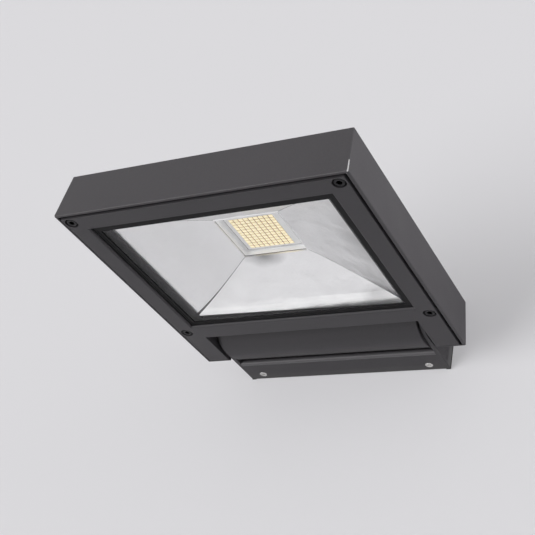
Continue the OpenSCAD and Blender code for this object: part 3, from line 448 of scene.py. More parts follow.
@dataclass(frozen=True)
class ClearGlass(Finish):
    """Thin toughened glass: a clear body that bends nothing under a reflecting skin."""

    skin: float = 0.7
    skin_ior: float = 1.4
    shade: Triple = (0.97, 0.98, 0.98)

    def draw(self, sketch: Sketch) -> Socket:
        """Draw clear glass with faint wipe marks in its tint."""
        _, broad = sketch.grain(400.0, 22.0)
        tint = sketch.mix(sketch.ramp(broad, 0.2, 0.8), self.base, WHITE)
        glass = sketch.surface(tint, self.roughness, {
            "IOR": 1.0, "Transmission Weight": 1.0, "Coat Weight": self.skin, "Coat IOR": self.skin_ior,
            "Coat Roughness": 0.02})
        path = sketch.add("ShaderNodeLightPath").outputs
        through = sketch.math("MAXIMUM", path["Is Shadow Ray"], path["Is Diffuse Ray"])
        clear = sketch.get("ShaderNodeBsdfTransparent", 0, {"Color": rgba(self.shade)})
        return sketch.blend(through, glass, clear)


@dataclass(frozen=True)
class Phosphor(Finish):
    """Speckled yellow phosphor behind clear silicone, with a faint painted glow that stands in for light."""

    pale: Triple = (1.0, 0.85, 0.56)
    painted_glow: float = 0.65

    def draw(self, sketch: Sketch) -> Socket:
        """Draw the phosphor's speckle under a thin clear coat."""
        fine, broad = sketch.grain(2600.0, 60.0)
        tone = sketch.mix(sketch.spread(fine), self.base, self.pale)
        tone = sketch.mix(sketch.ramp(broad, 0.4, 0.7, 0.0, 0.35), tone, self.pale)
        return sketch.surface(tone, sketch.spread(fine, self.roughness - 0.05, self.roughness + 0.1), {
            "Normal": sketch.bump(fine, 0.15, 0.05 * MM), "Coat Weight": 0.4,
            "Emission Color": rgba(self.pale), "Emission Strength": self.painted_glow})


@dataclass(frozen=True)
class Backdrop(Finish):
    """Matt studio paper that a view from behind sees through.

    Rays of the kinds in unseen_by, and rays shorter than thin, pass it. The camera sees an even
    tone in it, by the share flat, and reflections show it as bright as mirrored says.
    """

    unseen_by: tuple[str, ...] = ("Is Shadow Ray",)
    mirrored: float = 0.0
    flat: float = 0.0
    thin: float = 0.0

    def draw(self, sketch: Sketch) -> Socket:
        """Draw the paper, clear from its back and to the rays that it mustn't stop."""
        _, broad = sketch.grain(300.0, 2.0)
        tone = sketch.mix(sketch.spread(broad, 0.0, 0.25), self.base, self.tinted(0.985))
        surface = sketch.get("ShaderNodeBsdfDiffuse", 0, {"Color": tone})
        path = sketch.add("ShaderNodeLightPath").outputs
        if self.flat > 0.0:
            share = sketch.math("MULTIPLY", path["Is Camera Ray"], self.flat)
            surface = sketch.blend(share, surface, sketch.light("Emission", PALE_GREY, 1.0))
        if self.mirrored > 0.0:
            seen = sketch.math("MAXIMUM", path["Is Glossy Ray"], path["Is Transmission Ray"])
            surface = sketch.blend(seen, surface, sketch.light("Emission", self.base, self.mirrored))
        hide = sketch.get("ShaderNodeNewGeometry", "Backfacing")
        for ray in self.unseen_by:
            hide = sketch.math("MAXIMUM", hide, path[ray])
        hide = sketch.math("MAXIMUM", hide, sketch.math("LESS_THAN", path["Ray Length"], self.thin))
        return sketch.blend(hide, surface, sketch.get("ShaderNodeBsdfTransparent", 0))


# Main anthracite coat: its strong pale edge wear is partly real wear and partly a painted highlight along the
# edges.
ANTHRACITE = PowderCoat("anthracite_powder_coat", (0.064, 0.0595, 0.0655), 0.46, wear_and_highlight_tone=(0.6, 0.59, 0.61),
                        wear_and_highlight_amount=0.95)
# Darker copy of the anthracite coat on the barrel, its cover and the wall box: painted shade on these low,
# down-facing parts.
BOX_PAINTED_SHADE_COAT = PowderCoat("box_powder_coat", (0.045, 0.042, 0.0462), 0.5, wear_and_highlight_amount=0.5)
# Lighter coat for the box's front lip: a painted highlight along its edge.
LIP_PAINTED_HIGHLIGHT_COAT = PowderCoat("lip_powder_coat", (0.11, 0.105, 0.112), 0.4, wear_and_highlight_amount=0.5)
FRAME_COAT = PowderCoat("frame_powder_coat", (0.05, 0.0465, 0.0515), 0.5, wear_and_highlight_amount=0.2)
# Lighter coat on the lower rim's chamfer and the front corners: a painted highlight, broken up like
# rubbed-through paint.
RIM_HIGHLIGHT_COAT = PowderCoat("rubbed_edge_coat", (0.08, 0.076, 0.082), 0.42, wear_and_highlight_tone=(0.8, 0.79, 0.8),
                         highlight_below=-22.0 * MM)
DARK_ANODISED = BareMetal("dark_anodised_fins", (0.17, 0.17, 0.178), 0.42, stretch=(1.0, 0.08, 1.0),
                          scale=400.0)
# Near-black steel for the frame screws: painted shade of their deep counterbores.
RECESS_SHADED_STEEL = BareMetal("dark_screw_steel", (0.035, 0.034, 0.036), 0.3, scale=500.0)
STAINLESS = BareMetal("plain_stainless", (0.72, 0.71, 0.7), 0.26, scale=600.0)
ZINC = BareMetal("zinc_plated_sheet", (0.62, 0.63, 0.65), 0.36, grain=Grain.SPANGLED, scale=160.0)
# Painted shade under the reflector's neck lip, and painted dark reflections on its right, rear and left
# faces.
NECK_PAINTED_SHADE = PaintedDarkSpot((-0.01, -0.156, -0.003), (0.022, 0.012, 0.01), 0.75)
RIM_PAINTED_REFLECTION = PaintedDarkSpot((0.093, -0.183, -0.0235), (0.024, 0.07, 0.014), 0.35)
CORNER_PAINTED_REFLECTION = PaintedDarkSpot((0.075, -0.113, -0.0205), (0.016, 0.012, 0.01), 0.4)
LEFT_PAINTED_REFLECTION = PaintedDarkSpot((-0.065, -0.18, -0.015), (0.07, 0.12, 0.04), 0.14)
REFLECTOR_SHEET = BareMetal(
    "satin_reflector_sheet", (0.95, 0.945, 0.95), 0.33, stretch=(1.0, 0.3, 1.0), scale=90.0, depth=0.01,
    contrast=0.03, wave=2.5 * MM, painted_dark_spots=(NECK_PAINTED_SHADE, RIM_PAINTED_REFLECTION, CORNER_PAINTED_REFLECTION, LEFT_PAINTED_REFLECTION))
# Dark finish on the neck's fold and the corner seams: painted shade.
FOLD_AND_SEAM_PAINTED_SHADE = BareMetal("dark_neck_fold", (0.13, 0.128, 0.133), 0.5, scale=300.0)
BRASS = BareMetal("turned_brass", (0.78, 0.6, 0.3), 0.25, scale=500.0)
RUBBER = Moulded("black_silicone_rubber", (0.009, 0.0085, 0.0095), 0.62, texture=0.1, shine=0.2)
BLACK_PLASTIC = Moulded("black_moulded_plastic", (0.03, 0.03, 0.031), 0.45)
WHITE_PLASTIC = Moulded("white_moulded_case", (0.78, 0.78, 0.76), 0.42, texture=0.1)
BUSH_PLASTIC = Moulded("turned_acetal", (0.78, 0.75, 0.66), 0.38, texture=0.05)
PAD_GREY = Moulded("heat_pad_grey", (0.38, 0.4, 0.43), 0.7)
RED_WIRE = Moulded("red_silicone_sleeve", (0.5, 0.04, 0.03), 0.4, texture=0.05)
BROWN_WIRE = Moulded("brown_silicone_sleeve", (0.2, 0.09, 0.04), 0.4, texture=0.05)
# Faint emission on the white ceramic and the board: painted light in their shaded recess.
WHITE_CERAMIC_PAINTED_GLOW = Moulded("white_ceramic", (0.95, 0.945, 0.95), 0.35, texture=0.05, coat=0.2, painted_glow=0.16)
BOARD_SKIN_PAINTED_GLOW = Moulded("pale_board_skin", (0.88, 0.875, 0.885), 0.4, texture=0.05, coat=0.2, painted_glow=0.1)
CHIP_CASE = Moulded("chip_case_white", (0.97, 0.88, 0.68), 0.4, texture=0.05)
CHIP_FIELD = Moulded("chip_field_bronze", (0.5, 0.4, 0.28), 0.4, texture=0.05)
ENAMEL = Moulded("black_glass_enamel", (0.05, 0.048, 0.052), 0.4, texture=0.0, shine=0.3)
GLASS = ClearGlass("clear_toughened_glass", (0.99, 0.995, 0.992), 0.0)
# The phosphor's emission is painted light.
PHOSPHOR = Phosphor("yellow_phosphor", (1.0, 0.72, 0.28), 0.35)
WALL_PAPER = Backdrop("pale_studio_wall", (0.86, 0.852, 0.876), 1.0, flat=0.42, thin=12.0 * MM)
FLOOR_PAPER = Backdrop("pale_studio_floor", (0.9, 0.9, 0.905), 1.0, mirrored=1.0,
                       unseen_by=("Is Shadow Ray", "Is Diffuse Ray"))


# Mesh helpers


class Rect(NamedTuple):
    """Limits in a level plane."""

    left: float
    right: float
    front: float
    rear: float

    @classmethod
    def over(cls, lo: Vector, hi: Vector) -> "Rect":
        """Return the limits between two corners of a box."""
        return cls(lo.x, hi.x, lo.y, hi.y)

    def grown(self, by: float) -> "Rect":
        """Return the limits grown outwards."""
        return Rect(self.left - by, self.right + by, self.front - by, self.rear + by)

    def corners(self) -> list[Pair]:
        """Return the four corners, from the front left one on."""
        left, right, front, rear = self
        return [(left, front), (right, front), (right, rear), (left, rear)]


class Outline(Enum):
    """Shape of one ring of a turned piece."""

    ROUND = "round"
    HEX = "hex"
    STAR = "star"
    RIBBED = "ribbed"

    def radius(self, size: float, angle: float) -> float:
        """Return the ring's radius at an angle; a hexagon's size is half its width across flats."""
        if self is Outline.HEX:
            return size / math.cos((angle + math.pi / 6) % (math.pi / 3) - math.pi / 6)
        if self is Outline.STAR:
            return size * (1.0 + 0.14 * math.cos(6 * angle))
        if self is Outline.RIBBED:
            return size * (1.0 + 0.012 * math.cos(12 * angle))
        return size


class Ring(NamedTuple):
    """One ring of a turned piece; a size of 0 is a point on the axis."""

    size: float
    height: float
    outline: Outline = Outline.ROUND


def new_piece(name: str, data: bpy.types.ID) -> Piece:
    """Return a new object for a mesh, lamp or camera, linked to the scene."""
    piece = bpy.data.objects.new(name, data)
    bpy.context.scene.collection.objects.link(piece)
    return piece


def smoothed(piece: Piece, angle: float = 35.0) -> Piece:
    """Shade a piece smooth except at edges sharper than the angle in degrees, and return it."""
    piece.data.shade_smooth()
    piece.data.set_sharp_from_angle(angle=math.radians(angle))
    return piece


def piece_from(name: str, work: Work, angle: float = 35.0) -> Piece:
    """Return a new piece made of a bmesh, smooth except at edges sharper than the angle in degrees."""
    bmesh.ops.recalc_face_normals(work, faces=work.faces)
    mesh = bpy.data.meshes.new(name)
    work.to_mesh(mesh)
    work.free()
    return smoothed(new_piece(name, mesh), angle)


def freeze(piece: Piece) -> None:
    """Turn a piece's modifiers into plain mesh."""
    bpy.context.view_layer.update()
    graph = bpy.context.evaluated_depsgraph_get()
    old = piece.data
    mesh = bpy.data.meshes.new_from_object(piece.evaluated_get(graph), preserve_all_data_layers=True,
                                           depsgraph=graph)
    piece.modifiers.clear()
    piece.data = mesh
    mesh.name = piece.name
    bpy.data.meshes.remove(old)


def add_slab(work: Work, rect: Rect, low: float, high: float) -> list[Vert]:
    """Add a box over the limits, from one height to another, and return its vertices."""
    made = bmesh.ops.create_cube(work, size=1.0)["verts"]
    for vert in made:
        x, y, z = (c + 0.5 for c in vert.co)
        vert.co = (rect.left + x * (rect.right - rect.left), rect.front + y * (rect.rear - rect.front),
                   low + z * (high - low))
    return made


def bevelled(work: Work, width: float, segments: int = 2) -> None:
    """Bevel the sharp edges of a bmesh."""
    least = math.radians(SHARP_ANGLE)
    sharp = [e for e in work.edges if e.is_manifold and e.calc_face_angle(0.0) > least]
    bmesh.ops.bevel(work, geom=sharp, offset=width, segments=segments, profile=0.5, affect="EDGES",
                    clamp_overlap=True)


def bridge(work: Work, low: Sequence[Vert], high: Sequence[Vert]) -> list[Face]:
    """Join two rings of vertices with faces, and return these in order.

    Args:
        work: the mesh.
        low: the first ring; one vertex alone is a point.
        high: the second ring, with as many vertices or one.

    Returns:
        The new faces.
    """
    count = max(len(low), len(high))
    faces = []
    for k in range(count):
        n = (k + 1) % count
        around = (low[k % len(low)], low[n % len(low)], high[n % len(high)], high[k % len(high)])
        faces.append(work.faces.new(list(dict.fromkeys(around))))
    return faces


def turned(profile: Sequence[Ring], steps: int) -> Work:
    """Return a bmesh turned about Z.

    Args:
        profile: the rings in order, which start and end on the axis in a closed piece.
        steps: number of vertices in a ring.

    Returns:
        The bmesh.
    """
    work = bmesh.new()
    rings = []
    for size, height, outline in profile:
        angles = [2 * math.pi * k / steps for k in range(steps if size > 0.0 else 1)]
        reach = [(a, outline.radius(size, a)) for a in angles]
        rings.append([work.verts.new((r * math.cos(a), r * math.sin(a), height)) for a, r in reach])
    for low, high in zip(rings, rings[1:]):
        bridge(work, low, high)
    return work


def flat_groups(work: Work) -> list[list[Face]]:
    """Group triangles of one plane whose common border is one simple loop.

    A flat ring round a hole becomes two or more groups, so that the hole stays open.

    Args:
        work: the mesh, with its doubles merged.

    Returns:
        The groups of two triangles or more.
    """
    limit = math.cos(math.radians(FLAT_ANGLE))
    used: set[Face] = set()
    groups = []
    for seed in sorted(work.faces, key=lambda f: -f.calc_area()):
        if seed in used:
            continue
        used.add(seed)
        group, corners = [seed], set(seed.verts)
        for face in group:
            for edge in face.edges:
                if not edge.is_manifold:
                    continue
                other = next(f for f in edge.link_faces if f is not face)
                third = [v for v in other.verts if v not in edge.verts]
                level = other.normal.dot(seed.normal) >= limit
                if level and other not in used and len(third) == 1 and third[0] not in corners:
                    used.add(other)
                    corners.add(third[0])
                    group.append(other)
        if len(group) > 1:
            groups.append(group)
    return groups


def softened_copy(node: str, name: str, width: float) -> Piece:
    """Copy a CAD node, merge its loose triangles and round its sharp edges.

    Args:
        node: the CAD node.
        name: name of the new piece.
        width: width of the rounding; edges shorter than three widths get less, in proportion.

    Returns:
        The new piece, which rides on the node's body and replaces it.
    """
    work = bmesh.new()
    work.from_mesh(frame["nodes"][node].data)
    bmesh.ops.remove_doubles(work, verts=work.verts, dist=DOUBLES)
    for group in flat_groups(work):
        bmesh.utils.face_join(group)
    bmesh.ops.recalc_face_normals(work, faces=work.faces)
    layer = work.edges.layers.float.new("bevel_weight_edge")
    for edge in work.edges:
        if edge.is_manifold and edge.calc_face_angle(0.0) > math.radians(SHARP_ANGLE):
            edge[layer] = min(1.0, max(LEAST_WEIGHT, edge.calc_length() / (3.0 * width)))
    area = sum(face.calc_area() for face in work.faces)
    mesh = bpy.data.meshes.new(name)
    work.to_mesh(mesh)
    work.free()
    mesh.materials.clear()
    piece = new_piece(name, mesh)
    bevel = piece.modifiers.new("rounding", "BEVEL")
    bevel.limit_method = "WEIGHT"
    bevel.width = width
    bevel.segments = 2
    bevel.use_clamp_overlap = False
    freeze(piece)
    if abs(sum(face.area for face in piece.data.polygons) / area - 1.0) > AREA_CHANGE:
        raise ValueError(f"{name}: the rounding is too wide for its thinnest face")
    smoothed(piece, 40.0)
    piece.modifiers.new("even_normals", "WEIGHTED_NORMAL").keep_sharp = True
    freeze(piece)
    body = next(b for b, members in frame["record"]["behaviour"]["bodies"].items() if node in members)
    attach(piece, body)
    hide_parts(node)
    return piece


def dress(piece: Piece, *finishes: Finish) -> Piece:
    """Give a new piece its finishes, in the order of its faces' material indices, and return it."""
    for finish in finishes:
        piece.data.materials.append(finish.make())
    return piece


def patterned(name: str, tree: Tree, values: Inputs, finish: Finish) -> Piece:
    """Run a geometry node tree once, keep its result as a plain mesh and remove its helper pieces.

    Args:
        name: name of the new piece.
        tree: the geometry node tree.
        values: value of each named input.
        finish: the finish that the tree sets.

    Returns:
        The new piece.
    """
    piece = new_piece(name, bpy.data.meshes.new(name))
    modifier = piece.modifiers.new("pattern", "NODES")
    modifier.node_group = tree
    for item in tree.interface.items_tree:
        if item.in_out == "INPUT":
            modifier[item.identifier] = finish.make() if item.name == "Finish" else values[item.name]
    freeze(piece)
    for helper in [value for value in values.values() if isinstance(value, Piece)]:
        data = helper.data
        bpy.data.objects.remove(helper)
        bpy.data.meshes.remove(data)
    return piece


def middles(node: str, count: int) -> list[Vector]:
    """Return the centres of a node's solids, found by grouping its vertices.

    Args:
        node: the CAD node.
        count: how many solids it has.

    Returns:
        The middle of each solid's box.
    """
    work = bmesh.new()
    work.from_mesh(frame["nodes"][node].data)
    bmesh.ops.remove_doubles(work, verts=work.verts, dist=DOUBLES)
    left = set(work.verts)
    found = []
    while left:
        group, front = set(), [next(iter(left))]
        while front:
            vert = front.pop()
            if vert not in group:
                group.add(vert)
                front.extend(edge.other_vert(vert) for edge in vert.link_edges)
        left -= group
        lo, hi = (Vector([pick(v.co[i] for v in group) for i in range(3)]) for pick in (min, max))
        found.append((lo + hi) / 2)
    work.free()
    if len(found) != count:
        raise ValueError(f"{node} has {len(found)} solids, not {count}")
    return sorted(found, key=lambda p: (round(p.x, 4), round(p.y, 4)))


# Sub-assemblies


@dataclass
class SubAssembly:
    """A group of pieces that are built and dressed together."""

    def build(self) -> list[str]:
        """Build and dress the pieces and return their names."""
        raise NotImplementedError

    def keep(self, finishes: dict[str, Finish]) -> list[str]:
        """Dress CAD nodes that keep their mesh and return their names."""
        for node, finish in finishes.items():
            piece = frame["nodes"][node]
            if not piece.material_slots:
                dress(piece, finish)
            for slot in piece.material_slots:
                slot.material = finish.make()
        return list(finishes)

    def soften(self, node: str, name: str, width: float, finish: Finish, slot: str) -> str:
        """Replace a CAD node by a rounded copy in the given finish, and return its name."""
        piece = dress(softened_copy(node, name, width), finish)
        return piece.name

    def place(self, piece: Piece, body: Body, slot: str, *nodes: str) -> str:
        """Let a piece ride on its body and stand for CAD nodes, and return its name."""
        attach(piece, body.value)
        if nodes:
            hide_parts(*nodes)
        return piece.name


@dataclass
class ScrewSet(SubAssembly):
    """Equal socket screws that stand for one CAD node.

    Sizes are millimetres. The seat is the height of the face that the heads bear on. The shank
    has a smooth neck under the head, and the thread leaves out the length plain.
    """

    node: str
    count: int
    seat: float
    shank_l: float
    head_r: float = 4.25
    head_h: float = 5.0
    shank_r: float = 2.5
    recess_r: float = 2.0
    recess: Outline = Outline.HEX
    facing: Facing = Facing.UP
    finish: Finish = STAINLESS
    slot: str = "stainless"
    body: Body = Body.HEAD
    domed: bool = False
    dome_angle: float = 60.0
    dome_steps: int = 5
    pitch: float = 0.8
    steps: int = 36
    edge: float = 0.15
    neck: float = 0.8
    plain: float = 1.2

    def shank(self) -> list[Ring]:
        """Return the rings of the threaded shank, from its tip to the seat."""
        tip = -self.shank_l
        rings = [Ring(0.0, tip), Ring(self.shank_r * 0.75, tip)]
        for k in range(int((self.shank_l - self.plain) / self.pitch)):
            root = tip + 0.2 + k * self.pitch
            rings += [Ring(self.shank_r * 0.86, root), Ring(self.shank_r, root + self.pitch / 2)]
        return rings + [Ring(self.shank_r, -self.neck), Ring(self.shank_r, 0.0)]

    def head(self) -> list[Ring]:
        """Return the rings of the head's side, domed or with a chamfer."""
        rings = [Ring(self.head_r - self.edge, 0.0), Ring(self.head_r, self.edge)]
        if self.domed:
            last = math.radians(self.dome_angle)
            for angle in (last * k / self.dome_steps for k in range(1, self.dome_steps + 1)):
                rings.append(Ring(self.head_r * (0.45 + 0.55 * math.cos(angle)),
                                  self.head_h * (0.3 + 0.7 * math.sin(angle) / math.sin(last))))
            return rings
        cut = min(0.5, self.head_h * 0.15)
        return rings + [Ring(self.head_r, self.head_h - cut),
                        Ring(self.head_r - cut * 0.4, self.head_h - cut * 0.3),
                        Ring(self.head_r - cut, self.head_h)]

    def socket(self) -> list[Ring]:
        """Return the rings of the recess, down to its pointed floor."""
        floor = self.head_h * (0.5 if self.domed else 0.45)
        return [Ring(self.recess_r * 1.24, self.head_h),
                Ring(self.recess_r * 1.02, self.head_h - 0.18, self.recess),
                Ring(self.recess_r, floor, self.recess), Ring(0.0, floor - 0.25 * self.recess_r)]

    def build(self) -> list[str]:
        """Build the screws with the geometry node tree and dress them."""
        profile = [Ring(r * MM, z * MM * self.facing.value, outline)
                   for r, z, outline in self.shank() + self.head() + self.socket()]
        spots = bpy.data.meshes.new("screw_spots")
        spots.from_pydata([(p.x, p.y, self.seat * MM) for p in middles(self.node, self.count)], [], [])
        piece = patterned(self.node + "_turned", SPOTS_TREE, {
            "Piece": piece_from("screw", turned(profile, self.steps)), "Seed": len(self.node),
            "Spots": new_piece("screw_spots", spots)}, self.finish)
        return [self.place(smoothed(piece), self.body, self.slot, self.node)]


@dataclass
class StarScrews(ScrewSet):
    """Equal domed screws with a star recess, of 3 mm if no other size is given."""

    head_r: float = 2.6
    head_h: float = 1.8
    shank_r: float = 1.5
    recess_r: float = 1.1
    recess: Outline = Outline.STAR
    domed: bool = True
    pitch: float = 0.5
    steps: int = 24


@dataclass
class LampHousing(SubAssembly):
    """Die-cast shell of the head, with its vent and the frame's seal."""

    rounding: float = 0.6 * MM
    corner_zone: float = 14.0 * MM
    slanted: float = 0.2
    level: float = 0.97
    barrel_r: float = 34.0 * MM
    barrel_near: float = 1.4 * MM
    highlight_index: int = 1
    barrel_shade_index: int = 2
    vent_steps: int = 48
    plug_r: float = 5.9 * MM
    plug_h: float = 3.2 * MM

    def build(self) -> list[str]:
        """Build and dress the shell, the vent and the cord seal."""
        shell = self.soften("lamp_housing", "cast_shell", self.rounding, ANTHRACITE, "anthracite_paint")
        self.paint_rim_highlight_and_barrel_shade(bpy.data.objects[shell])
        return [shell, self.vent(), *self.keep({"frame_gasket": RUBBER})]

    def paint_rim_highlight_and_barrel_shade(self, shell: Piece) -> None:
        """Give the lower rim and front corners the lighter coat as a painted highlight, and the barrel the
        darker coat as painted shade.
        """
        lo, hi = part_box("lamp_housing")
        dress(shell, RIM_HIGHLIGHT_COAT, BOX_PAINTED_SHADE_COAT)
        for face in shell.data.polygons:
            x, y, z = face.center
            tilt = [abs(c) for c in face.normal]
            on_rim = z < lo.z + self.rounding and sorted(tilt)[1] > self.slanted and tilt[2] < self.level
            in_front = y < lo.y + self.corner_zone and abs(x) > hi.x - self.corner_zone
            if on_rim or (in_front and min(tilt[0], tilt[1]) > self.slanted):
                face.material_index = self.highlight_index
            # Barrel faces take the darker coat: painted shade.
            off_barrel = abs(math.hypot(y - HINGE_Y, z) - self.barrel_r)
            if off_barrel < self.barrel_near and tilt[0] < self.level:
                face.material_index = self.barrel_shade_index

    def vent(self) -> str:
        """Build the breather vent as a turned plug with a ribbed cap."""
        lo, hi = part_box("breather_vent")
        seat, top, cap_r = lo.z + self.plug_h, hi.z, (hi.x - lo.x) / 2
        cut = 0.5 * MM
        plug = [Ring(0.0, lo.z), Ring(self.plug_r - cut, lo.z), Ring(self.plug_r, lo.z + cut),
                Ring(self.plug_r, seat)]
        groove = [Ring(cap_r * 0.985, seat), Ring(cap_r * 0.985, seat + 1.2 * MM),
                  Ring(cap_r * 0.9, seat + 1.5 * MM), Ring(cap_r * 0.9, seat + 2.1 * MM)]
        cap = [Ring(cap_r * 0.97, seat + 2.3 * MM, Outline.RIBBED),
               Ring(cap_r * 0.97, top - 0.7 * MM, Outline.RIBBED), Ring(cap_r * 0.9, top)]
        dimple = [Ring(cap_r * 0.42, top), Ring(cap_r * 0.38, top - 0.4 * MM), Ring(0.0, top - cut)]
        piece = piece_from("vent_plug", turned(plug + groove + cap + dimple, self.vent_steps))
        piece.data.transform(Matrix.Translation(((lo.x + hi.x) / 2, (lo.y + hi.y) / 2, 0.0)))
        return self.place(dress(piece, BLACK_PLASTIC), Body.HEAD, "black_plastic", "breather_vent")


@dataclass
class FrontFrame(SubAssembly):
    """Cast frame under the head, with the four screws sunk in its corners and the glass's clips."""

    rounding: float = 0.4 * MM

    def build(self) -> list[str]:
        """Build and dress the frame, the clips and the screws."""
        return [self.soften("front_frame", "glass_frame", self.rounding, FRAME_COAT, "frame_paint"),
                # The frame screws take near-black steel as painted shade of their recesses.
                *ScrewSet("frame_screws", 4, -27.5, 12.5, facing=Facing.DOWN, finish=RECESS_SHADED_STEEL,
                          slot="dark_screw").build(),
                *StarScrews("clip_screws", 8, -24.5, 5.6).build(),
                self.soften("glass_clips", "spring_clips", 0.2 * MM, STAINLESS, "stainless")]


@dataclass
class GlassUnit(SubAssembly):
    """Clear glass with a black printed border on its inner face, and the black seal under it."""

    clear: Rect = Rect(-94.0 * MM, 94.0 * MM, -250.0 * MM, -103.8 * MM)
    lip: Rect = Rect(-99.5 * MM, 98.5 * MM, -251.6 * MM, -108.0 * MM)
    lip_step: float = 2.6 * MM
    lip_t: float = 0.35 * MM
    lip_round: float = 0.3 * MM
    edge: float = 0.5 * MM
    corner: float = 1.5 * MM
    ink: float = 0.04 * MM

    def build(self) -> list[str]:
        """Build and dress the pane, its border and the seal."""
        lo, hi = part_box("glass_pane")
        work = bmesh.new()
        add_slab(work, Rect.over(lo, hi), lo.z, hi.z)
        upright = [e for e in work.edges if abs(e.verts[0].co.z - e.verts[1].co.z) > 0.1 * MM]
        bmesh.ops.bevel(work, geom=upright, offset=self.corner, segments=4, profile=0.5, affect="EDGES")
        bevelled(work, self.edge)
        pane = dress(piece_from("clear_pane", work, 12.0), GLASS)
        return [self.place(pane, Body.HEAD, "glass", "glass_pane"), self.border(lo, hi), self.seal()]

    def rings(self, name: str, profile: Sequence[tuple[Rect, float]], angle: float) -> Piece:
        """Return a closed frame whose cross-section runs through the rings in order.

        Args:
            name: name of the piece.
            profile: limits and height of each ring.
            angle: edges sharper than this stay sharp, in degrees.

        Returns:
            The new piece.
        """
        work = bmesh.new()
        loops = [[work.verts.new((x, y, z)) for x, y in rect.corners()] for rect, z in profile]
        for first, second in zip(loops, loops[1:] + loops[:1]):
            bridge(work, first, second)
        return piece_from(name, work, angle)

    def border(self, lo: Vector, hi: Vector) -> str:
        """Build the printed border as a thin film just above the glass's inner face."""
        outer = Rect.over(lo, hi).grown(-self.edge - 0.3 * MM)
        low = hi.z + 0.01 * MM
        high = low + self.ink
        rings = [(outer, low), (self.clear, low), (self.clear, high), (outer, high)]
        film = self.rings("black_border", rings, 30.0)
        return self.place(dress(film, ENAMEL), Body.HEAD, "black_plastic")

    def seal(self) -> str:
        """Build the rubber seal, whose stepped lip shows inside the frame."""
        lo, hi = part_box("glass_gasket")
        outer, low, top, turn = Rect.over(lo, hi), lo.z, hi.z - 0.02 * MM, self.lip_round
        step = low + self.lip_t
        piece = self.rings("window_seal", [
            (outer, low), (self.lip.grown(self.lip_step), low),
            (self.lip.grown(self.lip_step - 0.2 * MM), step), (self.lip.grown(turn), step),
            (self.lip.grown(turn * 0.3), step + turn * 0.3), (self.lip, step + turn),
            (self.lip, top), (outer, top)], 50.0)
        return self.place(dress(piece, RUBBER), Body.HEAD, "black_rubber", "glass_gasket")


